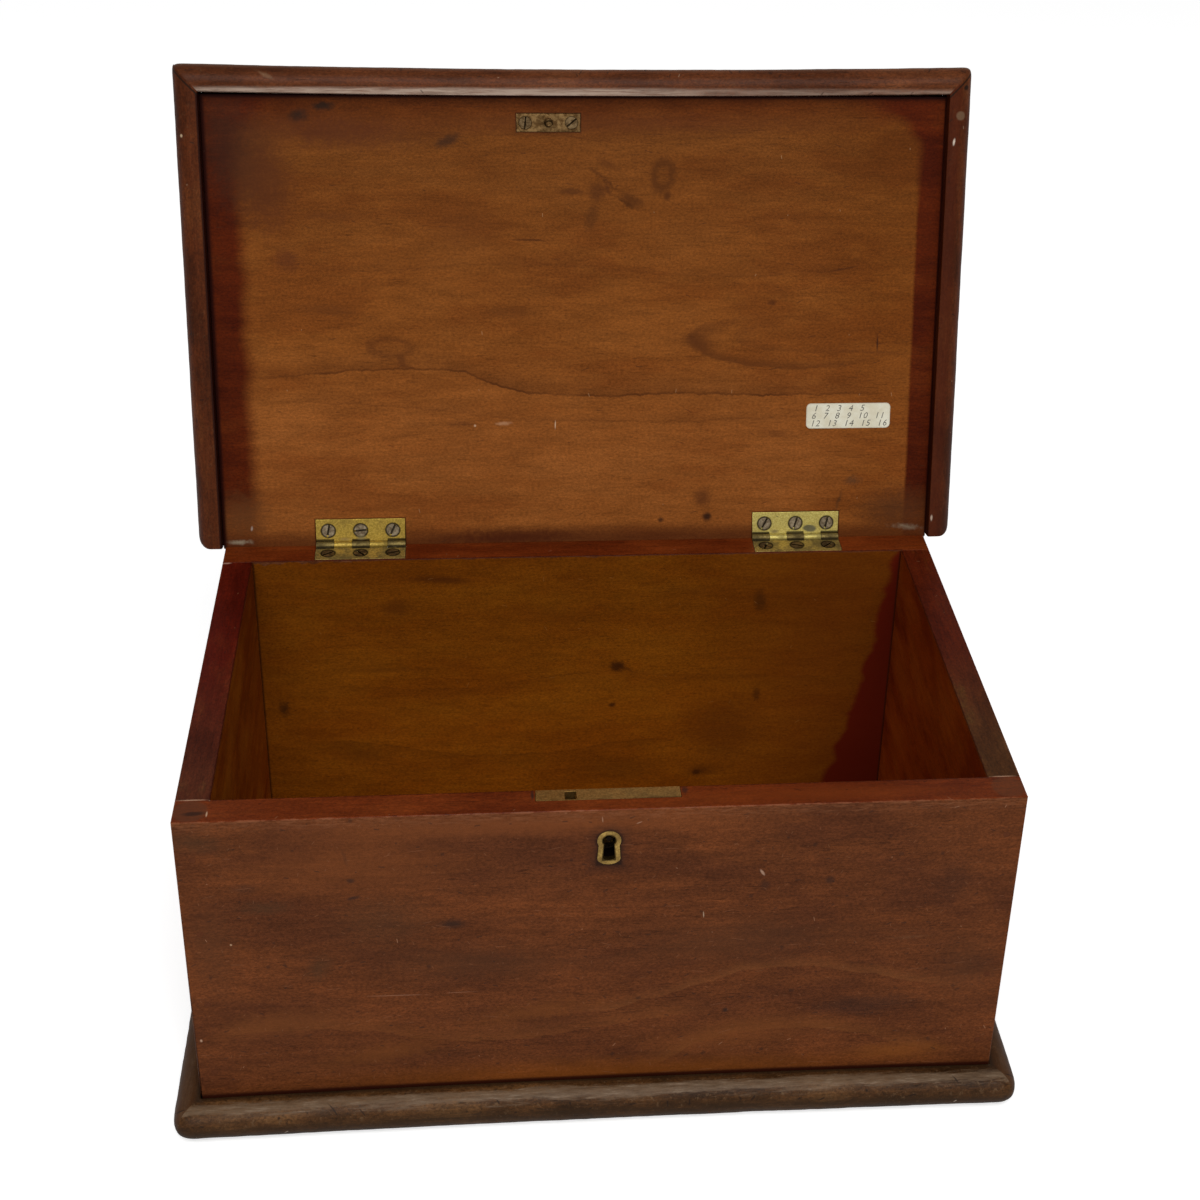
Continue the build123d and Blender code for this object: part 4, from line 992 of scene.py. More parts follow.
def keyhole_grime_and_shade(b: Bench, skin: WoodSkin, colour: Socket) -> Socket:
    """The keyhole's inside painted black as shade, and the grime close round its liner."""
    face, inner = -PLAN.half_depth, -PLAN.half_depth + PLAN.front_thick
    past = keyhole_distance(b, skin.x, skin.z)
    halo = b.times(b.step(past, 2.3, 4.2, 0.75, 0.0), b.step(skin.y, face + 1.0, face + 0.4))
    ragged = b.drift(skin.place, 0.3, 4.0, 0.7)
    wide = b.times(b.step(past, 2.5, 9.0, 0.55, 0.0), b.step(ragged, 0.3, 0.7, 0.5, 1.0))
    colour = b.mix(b.times(wide, b.step(skin.y, face + 1.0, face + 0.4)), colour, GRIME)
    colour = b.mix(halo, colour, DEEP_GRIME)
    # Painted shade: the keyhole's walls are black a little way in from the face.
    deep = b.times(b.step(skin.y, face + 0.3, face + 0.8), b.step(past, 0.4, 0.9, 1.0, 0.0))
    deep = b.times(deep, b.step(skin.y, inner + 0.3, inner - 0.2))
    return b.mix(deep, colour, HOLE_SHADE)


def keyhole_distance(b: Bench, x: Socket, z: Socket) -> Socket:
    """About how far a point is outside the keyhole's outline, in millimetres."""
    across = b.maths("ABSOLUTE", b.minus(x, PLAN.keyhole_x))
    up = b.minus(z, PLAN.keyhole_z)
    eye = b.minus(b.vector("LENGTH", b.joined(across, up, 0.0)), PLAN.keyhole_radius)
    below = b.minus(-PLAN.keyhole_length, up)
    skirt_x = b.minus(across, b.step(up, 0.0, -PLAN.keyhole_length, PLAN.keyhole_waist / 2, PLAN.keyhole_foot / 2))
    skirt = b.maths("MAXIMUM", b.maths("MAXIMUM", skirt_x, below), up)
    return b.maths("MINIMUM", eye, skirt)


def stain_wedge(b: Bench, skin: WoodSkin) -> Socket:
    """The red stain brushed over the right end of the back's inner face, wider towards the bottom."""
    strokes = b.drift(b.scaled(skin.place, (0.02, 0.0, 0.045)), 1.0, 3.0, 0.55)
    bow = b.times(b.step(skin.z, 30.0, 95.0), b.step(skin.z, 100.0, 165.0, 3.2, 0.0))
    edge = b.plus(b.plus(136.0, b.times(skin.z, 0.19)), bow)
    edge = b.plus(edge, b.step(strokes, 0.3, 0.7, -2.6, 2.6))
    return b.step(b.minus(skin.x, edge), -2.6, 1.8, 0.0, 0.92)


def grain_lines(b: Bench, skin: WoodSkin, colour: Socket, lines: Sequence["GrainLine"], across: Socket) -> Socket:
    """Draws long grain lines, each sharp on one side and fading on the other."""
    for line in lines:
        waver = b.drift(b.scaled(skin.place, (0.09, 0.0, 0.0)), 1.0, 4.0, 0.7)
        along = b.plus(b.step_line(skin.x, line.heights), b.step(waver, 0.2, 0.8, -1.2, 1.2))
        past = b.times(b.minus(along, across), 1.0 if line.fade > 0.0 else -1.0)
        fade = abs(line.fade)
        band = b.times(b.step(past, -0.5, 0.4), b.step(past, 0.5, fade, 1.0, 0.0))
        edge = b.times(b.step(past, -0.6, 0.1), b.step(past, 0.3, 1.4, 1.0, 0.0))
        come = b.drift(b.scaled(b.vector("ADD", skin.place, (fade * 7.0, 0.0, 0.0)), (0.03, 0.0, 0.0)), 1.0, 3.0, 0.6)
        middle, reach = (line.end + line.start) / 2, (line.end - line.start) / 2
        ends = b.step(b.maths("ABSOLUTE", b.minus(skin.x, middle)), reach * 0.72, reach, 1.0, 0.0)
        amount = b.times(b.plus(b.times(band, 0.42), b.times(edge, line.edge)), ends)
        amount = b.times(b.times(amount, b.step(come, 0.3, 0.62, 0.35, 1.0)), line.strength)
        colour = b.mix(amount, colour, line.colour)
    return colour


def oval_figure(b: Bench, skin: WoodSkin, colour: Socket) -> Socket:
    """Draws the panel's pointed oval figure and the small swirl, as rings that fade inwards."""
    for oval in LID_OVALS:
        waver = b.noise(skin.flat, 0.06, 4.0, 0.62).outputs["Color"]
        flat = b.vector("ADD", skin.flat, b.scaled(b.vector("SUBTRACT", waver, NOISE_MIDDLE), (9.0, 6.0, 0.0)))
        feeds = {
            "Vector": b.scaled(flat, (1.0, 1.0, 0.0)), "Location": (oval.u, oval.v, 0.0),
            "Scale": (oval.half_long, oval.half_wide, 1.0),
        }
        feeds["Rotation"] = (0.0, 0.0, math.radians(oval.turn))
        local = b.put("Mapping", feeds, vector_type="TEXTURE").outputs[0]
        radius = b.vector("LENGTH", local)
        x, y, _ = b.split(local)
        ring = b.times(b.step(radius, oval.core, 0.97), b.step(radius, 0.97, 1.04, 1.0, 0.0))
        lean = b.step(b.plus(b.times(x, -0.75), b.times(y, 0.65)), -0.7, 0.8, 0.08, 1.0)
        colour = b.mix(b.times(b.times(ring, lean), oval.strength), colour, oval.colour)
    return colour


@dataclass(frozen=True)
class TanField:
    """The lighter field inside the lid's stained border: a rectangle with round corners."""

    middle: tuple[float, float, float] = (2.6, 23.0, 0.0)
    half: tuple[float, float, float] = (153.5, 112.0, 0.0)
    corner: float = 18.5


TAN_FIELD = TanField()
LIT_PALER: Colour = (1.4, 1.46, 1.9)
REDDER: Colour = (0.8, 0.74, 0.55)
LOW_STAIN: Colour = (0.052, 0.011, 0.003)
LIP_SHADOW_BLACK: Colour = (0.016, 0.002, 0.001)
PLATE_SHADOW: Colour = (0.04, 0.012, 0.004)


def dress_lid_panel(skin: WoodSkin) -> bpy.types.Material:
    """The lid's board: stained on top, and below it a tan field inside a darker stained border."""
    material, b = skin.start()
    above = skin.rubbed(b, skin.scratched(b, skin.tinted(b, STAINED), LID_TOP_SCRATCHES), BARE, 0.6)
    left = b.step(skin.x, -171.0, 175.0, 1.0, 0.0)
    drift = b.noise(b.scaled(skin.place, (0.014, 0.05, 0.0)), 1.0, 6.0, 0.66).outputs["Color"]
    sway = b.joined(b.plus(1.5, b.times(left, 7.5)), 20.0, 0.0)
    shifted = b.vector("ADD", skin.place, b.scaled(b.vector("SUBTRACT", drift, NOISE_MIDDLE), sway))
    off = b.vector("ABSOLUTE", b.vector("SUBTRACT", shifted, TAN_FIELD.middle))
    corner = b.vector("MAXIMUM", b.vector("SUBTRACT", off, TAN_FIELD.half), ORIGIN)
    past = b.minus(b.vector("LENGTH", b.scaled(corner, (1.0, 1.0, 0.0))), TAN_FIELD.corner)
    soft = b.plus(1.0, b.times(left, 4.0))
    soft = b.plus(soft, b.step(b.maths("ABSOLUTE", skin.x), 166.0, 148.0, 0.0, 6.0))
    soft = b.plus(soft, b.step(skin.y, -50.0, -100.0, 0.0, 3.0))
    border = b.step(past, b.times(soft, -1.0), soft)
    deep = b.step(b.maths("ABSOLUTE", skin.x), 130.0, 166.0, 0.6, 1.0)
    deep = b.times(deep, b.step(skin.y, 84.0, 108.0, 1.0, 0.45))
    tan = skin.tinted(b, TAN)
    # Painted light: the field is darker towards its front edge and paler towards the hinge, as the light falls on the
    # open lid.
    shade_up = b.step(skin.y, -112.0, 12.0, 0.8, 1.08)
    tan = b.mix(1.0, tan, b.joined(shade_up, shade_up, shade_up), "MULTIPLY")
    tan = b.mix(b.step(skin.y, 0.0, 70.0, 0.0, 0.62), tan, b.mix(1.0, tan, LIT_PALER, "MULTIPLY"))
    tan = b.mix(b.step(skin.x, 105.0, 165.0, 0.0, 0.75), tan, b.mix(1.0, tan, REDDER, "MULTIPLY"))
    tan = oval_figure(b, skin, grain_lines(b, skin, tan, LID_LINES, skin.y))
    field = b.mix(b.times(border, deep), tan, skin.tinted(b, BORDER))
    low_edge = b.step(skin.y, 104.0, 115.0, 0.0, 0.7)
    low_edge = b.maths(
        "MAXIMUM", low_edge, b.times(b.step(skin.y, 86.0, 112.0), b.step(skin.x, 140.0, 178.0, 0.0, 0.6)),
    )
    field = b.mix(low_edge, field, LOW_STAIN)
    field = skin.marked(b, field)
    field = skin.scratched(b, field, *FIELD_SCRATCHES)
    # Painted shadow: a dark line on the panel beside the mouldings, where the lip's shadow falls, wider on the left.
    edge = b.minus(PLAN.lid_half, b.maths("ABSOLUTE", skin.x))
    edge = b.times(edge, b.step(skin.x, -10.0, 10.0, 1.0, 2.6))
    edge = b.maths("MINIMUM", edge, b.times(b.minus(skin.y, PLAN.lid_front), 1.15))
    field = b.mix(b.step(edge, 0.7, 2.8, 0.96, 0.0), field, LIP_SHADOW_BLACK)
    # Painted shadow: a thin dark line on the wood round the hinge leaves and the link plate.
    field = b.mix(b.step(plate_distance(b, skin), 0.1, 1.1, 0.65, 0.0), field, PLATE_SHADOW)
    below = b.step(skin.z, PLAN.lid_z + 0.3, PLAN.lid_z + 0.6, 1.0, 0.0)
    skin.finish(b, b.mix(below, above, field), b.step(below, 0.0, 1.0, STAINED.rough, 0.47), 0.8)
    return material


BLOT_DARK: Colour = (0.02, 0.009, 0.004)
BLOT_PALE: Colour = (0.15, 0.085, 0.04)
FOOT_SIDE: Colour = (0.058, 0.02, 0.0055)
FOOT_LOW_SHADE: Colour = (0.026, 0.012, 0.004)
FOOT_SEAM: Colour = (0.018, 0.009, 0.004)
NOSE_SHINE: Colour = (0.215, 0.115, 0.062)
LIP_HIGHLIGHT: Colour = (0.36, 0.265, 0.205)
LIP_RED: Colour = (0.056, 0.0085, 0.002)
LIP_INNER_SHADE: Colour = (0.012, 0.002, 0.001)
LIP_SHINE: Colour = (0.23, 0.14, 0.085)
MITRE_DIRT: Colour = (0.014, 0.006, 0.003)


def moulding_gaps(b: Bench, skin: WoodSkin, inner: tuple[float, float]) -> tuple[Socket, Socket, Socket]:
    """How far a point is outside the board, sideways, forwards and in all."""
    gap_x = b.minus(b.maths("ABSOLUTE", skin.x), inner[0])
    gap_y = b.minus(inner[1], skin.y)
    return gap_x, gap_y, b.maths("MAXIMUM", gap_x, gap_y)


def knocked(
    b: Bench, skin: WoodSkin, colour: Socket, stretch: tuple[float, float, float], darkening: float,
) -> tuple[Socket, Socket]:
    """Blots and speckles a moulding, and returns with the colour the patchy noise that made them."""
    patchy = b.drift(b.scaled(skin.place, stretch), 1.0, 6.0, 0.74)
    blots = b.drift(skin.place, 0.45, 5.0, 0.75)
    colour = b.mix(b.step(blots, 0.54, 0.68, 0.0, 0.35 + 0.4 * darkening), colour, BLOT_DARK)
    colour = b.mix(b.step(blots, 0.45, 0.32, 0.0, 0.15 + 0.4 * darkening), colour, BLOT_PALE)
    return colour, patchy


def dress_foot(skin: WoodSkin, crown: float, side: Side) -> bpy.types.Material:
    """The foot's moulding: a grey streaked painted highlight round its shoulder, painted shade below it, and grime with
    painted shade in the seam above it.

    Args:
        skin: the moulding's place and figure.
        crown: how much higher it stands in the middle of its length.
        side: which of the three lengths it is; the side lengths get a weaker painted highlight and are painted darker,
            as shade.

    Returns:
        The material.
    """
    p = PLAN
    material, b = skin.start()
    stretch = (0.3, 0.04, 0.4) if skin.grain_along_y else (0.04, 0.3, 0.4)
    colour, patchy = knocked(b, skin, skin.tinted(b, FOOT), stretch, 1.0)
    bow = b.minus(1.0, b.maths("POWER", b.maths("DIVIDE", skin.x, p.half_width + p.moulding_reach), 2.0))
    level = b.maths("DIVIDE", skin.z, b.plus(p.moulding_height, b.times(bow, crown)))
    gap = moulding_gaps(b, skin, (p.half_width, -p.half_depth))[2]
    # Painted highlight: grey and pale streaks round the shoulder, weaker on the side lengths.
    reach = b.plus(gap, b.step(patchy, 0.3, 0.7, -1.5, 1.5))
    shoulder = b.times(b.step(reach, 3.6, 6.2), b.step(reach, 8.6, 11.0, 1.0, 0.0))
    shoulder = b.times(shoulder, b.step(level, 0.58, 0.74))
    shoulder = b.times(shoulder, 0.9 if side is Side.FRONT else 0.3)
    streaks = b.drift(b.scaled(skin.grain, (0.1, 0.75, 0.75)), 1.0, 5.0, 0.72)
    colour = b.mix(b.times(shoulder, b.step(streaks, 0.3, 0.58, 0.35, 0.85)), colour, SHOULDER_GREY_HIGHLIGHT)
    colour = b.mix(b.times(shoulder, b.step(streaks, 0.54, 0.72, 0.0, 0.55)), colour, SHOULDER_PALE_HIGHLIGHT)
    # Painted shade: the side lengths are darker.
    if side is not Side.FRONT:
        colour = b.mix(0.55, colour, FOOT_SIDE)
    # Painted shade: the lower half of the nose is darker, in patches.
    low = b.times(b.step(level, 0.5, 0.8, 1.0, 0.0), b.step(patchy, 0.3, 0.62, 0.35, 0.85))
    colour = b.mix(low, colour, FOOT_LOW_SHADE)
    # Grime and painted shade on the flat next to the board.
    colour = b.mix(b.step(gap, 1.0, 3.8, 0.75, 0.0), colour, FOOT_SEAM)
    colour = skin.scratched(b, colour, *FOOT_SCRATCHES)
    skin.finish(b, colour, FOOT.rough, 1.6, 0.1)
    return material


def dress_lip(skin: WoodSkin, side: Side) -> bpy.types.Material:
    """The lid's moulding: brown on its nose with a painted highlight towards its outer edge, and on the front a painted
    highlight along the flat of its lip.

    Args:
        skin: the moulding's place and figure.
        side: which of the three lengths it is.

    Returns:
        The material.
    """
    p = PLAN
    material, b = skin.start()
    stretch = (0.3, 0.05, 0.4) if skin.grain_along_y else (0.05, 0.3, 0.4)
    colour, patchy = knocked(b, skin, skin.tinted(b, LIP if side is Side.FRONT else NOSE), stretch, 0.0)
    level = b.maths("DIVIDE", b.minus(skin.z, p.lid_z - p.lip_depth), p.moulding_height)
    gap_x, gap_y, gap = moulding_gaps(b, skin, (p.lid_half, p.lid_front))
    if side is Side.FRONT:
        # Painted highlight on the front length's nose, broken up.
        nose = b.times(b.step(level, 0.22, 0.42), b.step(patchy, 0.3, 0.7, 0.4, 1.0))
        colour = b.mix(b.times(nose, 0.28), colour, NOSE_SHINE)
        # Painted highlight: a pale streaked band along the flat of the front lip, fainter to the right.
        band = b.times(b.step(gap, 0.15, 0.5), b.step(gap, 2.6, 4.9, 1.0, 0.0))
        spell = b.step(skin.x, 0.0, 90.0, 1.0, 0.45)
        streaks = b.drift(b.scaled(skin.place, (0.05, 0.7, 0.0)), 1.0, 5.0, 0.72)
        amount = b.times(b.times(band, spell), b.step(streaks, 0.34, 0.62, 0.4, 1.0))
        colour = b.mix(b.times(amount, b.step(level, 0.12, 0.08)), colour, LIP_HIGHLIGHT)
        inner_shade = b.step(gap, 0.1, 0.35, 0.9, 0.0)
    elif side is Side.RIGHT:
        colour = b.mix(b.step(gap, 4.5, 8.5, 0.55, 0.0), colour, LIP_RED)
        inner_shade = b.step(gap, 0.05, 0.25, 0.5, 0.0)
    else:
        inner_shade = b.step(gap, 0.8, 1.5, 0.92, 0.0)
    # Painted shade on the lip's inner edge, where it meets the panel; widest on the left length.
    colour = b.mix(inner_shade, colour, LIP_INNER_SHADE)
    # Painted highlight towards the nose's outer edge, on all three lengths.
    colour = b.mix(b.times(b.step(level, 0.3, 0.5), 0.1), colour, LIP_SHINE)
    apart = b.maths("ABSOLUTE", b.minus(gap_x, gap_y))
    mitre = b.times(b.step(apart, 0.35, 0.8, 0.9, 0.0), b.step(b.maths("MINIMUM", gap_x, gap_y), -0.2, 0.1))
    colour = b.mix(mitre, colour, MITRE_DIRT)
    colour = skin.scratched(b, colour, *LIP_SCRATCHES)
    colour = skin.marked(b, colour)
    skin.finish(b, colour, 0.4, 1.5, 0.08)
    return material


def plate_distance(b: Bench, skin: WoodSkin) -> Socket:
    """How far a point of the panel is from the nearest hinge leaf or from the link plate."""
    p = PLAN
    leaf_x = b.minus(b.maths("ABSOLUTE", b.minus(b.maths("ABSOLUTE", skin.x), p.hinge_x)), p.hinge_half)
    leaf = b.maths("MAXIMUM", leaf_x, b.minus(p.hinge_edge_y, skin.y))
    plate_x = b.minus(b.maths("ABSOLUTE", b.minus(skin.x, p.link_x)), p.link_half_long)
    plate_y = b.minus(b.maths("ABSOLUTE", b.minus(skin.y, p.link_y)), p.link_half_wide)
    return b.maths("MINIMUM", leaf, b.maths("MAXIMUM", plate_x, plate_y))


def dress_bottom(skin: WoodSkin) -> bpy.types.Material:
    """The bottom board: raw and dusty below, stained on its back edge, golden on the inside."""
    material, b = skin.start()
    raw = skin.scratched(b, skin.tinted(b, RAW), UNDERSIDE_SCRATCHES)
    back_edge = b.step(skin.y, PLAN.half_depth - 0.5, PLAN.half_depth - 0.2, 0.0, 0.9)
    raw = b.mix(back_edge, raw, skin.tinted(b, STAINED))
    inside = skin.tinted(b, GOLDEN)
    skin.finish(b, b.mix(b.step(skin.z, PLAN.bottom_thick - 0.4, PLAN.bottom_thick - 0.1), raw, inside), 0.7)
    return material


@dataclass(frozen=True)
class MetalFinish:
    """An old metal: its clean and dulled colours and how it shines."""

    clean: Colour
    dull: Colour
    bloom: Colour
    amount: float
    rough: float
    metallic: float = 1.0
    specular: float = 0.5
    grain: float = 1.1


HINGE_BRASS = MetalFinish((0.72, 0.49, 0.088), (0.48, 0.315, 0.046), (0.21, 0.14, 0.03), 0.55, 0.46, 0.75)
PALE_BRASS = MetalFinish((0.88, 0.745, 0.23), (0.67, 0.53, 0.13), (0.3, 0.23, 0.07), 0.5, 0.44, 0.75)
# A darker copy of the hinge brass for the leaves on the case, painted as the shade they lie in.
CASE_LEAF_SHADE_BRASS = MetalFinish((0.4, 0.29, 0.085), (0.24, 0.17, 0.045), (0.1, 0.068, 0.022), 0.65, 0.5, 0.75)
DULL_BRASS = MetalFinish((0.6, 0.36, 0.115), (0.4, 0.23, 0.07), (0.16, 0.085, 0.03), 0.65, 0.46)
LINER_BRASS = MetalFinish((0.54, 0.36, 0.105), (0.36, 0.225, 0.065), (0.12, 0.07, 0.024), 0.5, 0.42)
LINK_BRASS = MetalFinish((0.25, 0.148, 0.058), (0.098, 0.05, 0.017), (0.045, 0.025, 0.009), 0.7, 0.46, grain=0.4)
OLD_STEEL = MetalFinish((0.66, 0.54, 0.36), (0.32, 0.24, 0.145), (0.11, 0.078, 0.044), 0.65, 0.46, grain=0.5)
DARK_STEEL = MetalFinish((0.22, 0.145, 0.07), (0.095, 0.056, 0.024), (0.032, 0.019, 0.009), 0.6, 0.5, grain=0.5)
# The lock's case and its drill pin, seen through the keyhole, are painted nearly black as the shade inside it.
LOCK_SHADE_BRASS = MetalFinish((0.04, 0.024, 0.01), (0.022, 0.013, 0.006), (0.01, 0.006, 0.003), 0.6, 0.6, 0.5)
PIN_SHADE_IRON = MetalFinish((0.012, 0.008, 0.005), (0.008, 0.005, 0.003), (0.005, 0.003, 0.002), 0.6, 0.6, 0.0, 0.03)
NAIL_IRON = MetalFinish((0.098, 0.028, 0.01), (0.082, 0.024, 0.009), (0.06, 0.018, 0.007), 0.5, 0.6, 0.0, 0.05)

DULLER: Colour = (0.8, 0.74, 0.66)
LINK_EYE_RADIUS = 1.9
KNUCKLE_RADIUS = 2.7
METAL_MARKS = (
    Mark(123.4, 110.6, 4.4, 2.4, (0.15, 0.14, 0.085), 0.9, 4.0, 0.4, 0.6),
    Mark(104.5, 112.0, 3.2, 1.6, (0.26, 0.2, 0.09), 0.8, 0.0, 0.6),
    Mark(105.8, 103.8, 1.0, 0.4, (0.1, 0.07, 0.02), 0.8),
    Mark(-115.6, 111.4, 3.4, 2.2, (0.3, 0.24, 0.11), 0.7, 0.0, 0.5),
    Mark(-124.0, 112.2, 4.0, 1.2, (0.34, 0.22, 0.09), 0.6, 0.0, 0.8),
)


class Recess(Enum):
    """Where a metal part is painted dark round its hollows, as grime and shade."""

    NONE = 0
    HINGE = 1
    LINK = 2
    KEYHOLE = 3
    SELVEDGE = 4


def recess_distance(b: Bench, place: Socket, recess: Recess) -> Socket:
    """How far a point is outside the nearest screw head or hole of a plate, in millimetres."""
    p = PLAN
    x, y, z = b.split(place)
    if recess is Recess.KEYHOLE:
        return b.minus(keyhole_distance(b, x, z), 0.1)
    if recess is Recess.HINGE:
        off = b.maths("ABSOLUTE", b.minus(b.maths("ABSOLUTE", x), p.hinge_x))
        off = b.maths("MINIMUM", off, b.maths("ABSOLUTE", b.minus(off, p.hinge_screw_pitch)))
        reach = b.vector("LENGTH", b.joined(off, b.minus(y, p.hinge_screw_y), 0.0))
        return b.minus(reach, p.hinge_head / 2)
    off = b.maths("ABSOLUTE", b.minus(x, p.link_x))
    up = b.minus(y, p.link_y)
    eye = b.minus(b.vector("LENGTH", b.joined(off, up, 0.0)), LINK_EYE_RADIUS)
    head = b.vector("LENGTH", b.joined(b.minus(off, p.link_screw_reach), up, 0.0))
    return b.maths("MINIMUM", eye, b.minus(head, p.link_head / 2))


def knuckle_gaps(b: Bench, place: Socket) -> Socket:
    """The gaps between a leaf's edge and the other leaf's knuckles, painted dark as shade and grime."""
    p = PLAN
    x, y, _ = b.split(place)
    off = b.maths("ABSOLUTE", b.minus(b.maths("ABSOLUTE", x), p.hinge_x))
    turn = b.maths("FRACT", b.maths("DIVIDE", b.plus(off, p.hinge_knuckle / 2), p.hinge_knuckle * 2))
    near = b.step(b.maths("ABSOLUTE", b.minus(y, p.pin_y - KNUCKLE_RADIUS)), 0.5, 0.9, 0.9, 0.0)
    return b.times(near, b.step(turn, 0.48, 0.52, 1.0, 0.0))


def dress_metal(
    name: str, finish: MetalFinish, shared: Shared, on_lid: bool, flat_z: float | None = None,
    recess: Recess = Recess.NONE,
) -> bpy.types.Material:
    """A metal dulled in patches, brighter on the high parts, and painted dark in its recesses as grime and shade.

    Args:
        name: the material's name.
        finish: the metal's colours.
        shared: the shared groups.
        on_lid: whether the piece is on the lid.
        flat_z: height of the part's outer face, beyond which the slots are painted dark as grime and shade.
        recess: the holes or heads that are painted dark round, as grime and shade.

    Returns:
        The material.
    """
    material, b = new_material(name)
    place = box_vector(b, on_lid)
    tarnish = b.group(shared.tarnish, Vector=place, Shift=(17.0, 5.0, 3.0), Grain=(finish.grain,) * 3).outputs
    colour = b.mix(b.step(tarnish["Speckle"], 0.38, 0.62), finish.dull, finish.clean)
    colour = b.mix(b.times(tarnish["Bloom"], finish.amount), colour, finish.bloom)
    # Painted shade with grime: the slots, the rings round screw heads and holes, the selvedge's edge, the knuckle gaps
    # and the knuckle ends are darkened.
    darkening: Value = 0.0
    if flat_z is not None:
        darkening = b.step(b.maths("ABSOLUTE", b.minus(b.split(place)[2], flat_z)), 0.12, 0.3, 0.0, 0.85)
    if recess is Recess.SELVEDGE:
        x, y, _ = b.split(place)
        edge = -PLAN.half_depth + PLAN.front_thick - PLAN.selvedge_width
        darkening = b.step(y, edge + 0.1, edge + 0.6, 0.7, 0.0)
        colour = b.mix(b.step(x, -25.0, 15.0, 0.8, 0.0), colour, b.mix(1.0, colour, DULLER, "MULTIPLY"))
    elif recess is not Recess.NONE:
        past = recess_distance(b, place, recess)
        ring = b.step(past, 0.1, 0.6, 0.85, 0.0)
        if recess is not Recess.KEYHOLE:
            ring = b.times(ring, b.step(past, -0.7, -0.35))
        darkening = b.maths("MAXIMUM", darkening, ring)
    if recess is Recess.HINGE:
        darkening = b.maths("MAXIMUM", darkening, knuckle_gaps(b, place))
        # Painted shade on the knuckles' end faces, inside their outer round.
        from_pin = b.scaled(b.vector("SUBTRACT", place, (0.0, PLAN.pin_y, PLAN.pin_z)), (0.0, 1.0, 1.0))
        barrel = b.step(b.vector("LENGTH", from_pin), KNUCKLE_RADIUS - 0.4, KNUCKLE_RADIUS, 0.5, 0.0)
        darkening = b.maths("MAXIMUM", darkening, barrel)
    colour = b.mix(darkening, colour, tuple(part * 0.2 for part in finish.bloom))
    for mark in METAL_MARKS if on_lid and recess is Recess.HINGE else ():
        colour = b.mix(mark_amount(b, shared, place, mark), colour, mark.colour)
    lines = b.drift(b.scaled(place, (0.25, 2.6, 2.6)), 1.0, 2.0, 0.6)
    rough = b.plus(finish.rough, b.times(tarnish["Bloom"], 0.22))
    rough = b.plus(rough, b.times(b.minus(lines, 0.5), 0.2))
    height = b.plus(b.times(lines, 0.012), b.times(tarnish["Speckle"], 0.03))
    bump = b.put("Bump", {"Height": height, "Distance": MM, "Strength": 0.8}).outputs[0]
    shade(b, colour, rough, finish.metallic, bump, finish.specular)
    return material


CREAM_PAPER: Colour = (0.76, 0.73, 0.59)
SOILED_PAPER: Colour = (0.66, 0.6, 0.44)
PAPER_FIBRE: Colour = (0.46, 0.42, 0.31)
RUBBED_PAPER: Colour = (0.3, 0.24, 0.15)
DARK_INK: Colour = (0.08, 0.076, 0.066)
FADED_INK: Colour = (0.2, 0.185, 0.145)


def dress_paper(name: str) -> bpy.types.Material:
    """Aged cream paper with faint fibres, a rubbed edge and light soiling."""
    material, b = new_material(name)
    place = box_vector(b, True)
    fibre = b.drift(place, 2.2, 4.0, 0.65)
    soil = b.drift(place, 0.12, 4.0, 0.6)
    colour = b.mix(b.step(soil, 0.35, 0.7), CREAM_PAPER, SOILED_PAPER)
    colour = b.mix(b.step(fibre, 0.3, 0.7, 0.0, 0.25), colour, PAPER_FIBRE)
    x, y, _ = b.split(place)
    off = b.vector("ABSOLUTE", b.vector("SUBTRACT", b.joined(x, y, 0.0), (PLAN.label_x, PLAN.label_y, 0.0)))
    rim = b.vector("SUBTRACT", off, (PLAN.label_flat_long, PLAN.label_flat_wide, 0.0))
    out = b.vector("LENGTH", b.vector("MAXIMUM", rim, ORIGIN))
    colour = b.mix(b.step(out, PLAN.label_corner - 0.8, PLAN.label_corner, 0.0, 0.45), colour, RUBBED_PAPER)
    bump = b.put("Bump", {"Height": b.times(fibre, 0.02), "Distance": MM}).outputs[0]
    shade(b, colour, 0.85, 0.0, bump)
    return material


def dress_ink(name: str) -> bpy.types.Material:
    """Faded grey ink, uneven along its strokes."""
    material, b = new_material(name)
    fade = b.drift(box_vector(b, True), 0.5, 3.0, 0.6)
    colour = b.mix(b.step(fade, 0.35, 0.65), DARK_INK, FADED_INK)
    shade(b, colour, 0.8, 0.0, None)
    return material


# ---------------------------------------------------------------- meshes
def settle(bm: bmesh.types.BMesh, name: str, turn: Matrix | None = None, sharp: float = 50.0) -> bpy.types.Object:
    """Makes a finished piece from a bmesh that is in metres.

    Args:
        bm: the shape, which is freed.
        name: the piece's name.
        turn: a last turn, such as the lid's.
        sharp: the angle in degrees above which an arris stays crisp.

    Returns:
        The piece, at the origin.
    """
    if turn is not None:
        bmesh.ops.transform(bm, matrix=turn, verts=bm.verts)
    mesh = bpy.data.meshes.new(name)
    bm.to_mesh(mesh)
    bm.free()
    mesh.shade_smooth()
    mesh.set_sharp_from_angle(angle=math.radians(sharp))
    piece = bpy.data.objects.new(name, mesh)
    bpy.context.scene.collection.objects.link(piece)
    weighted = piece.modifiers.new("weighted_normals", "WEIGHTED_NORMAL")
    weighted.keep_sharp = True
    weighted.weight = 100
    return piece


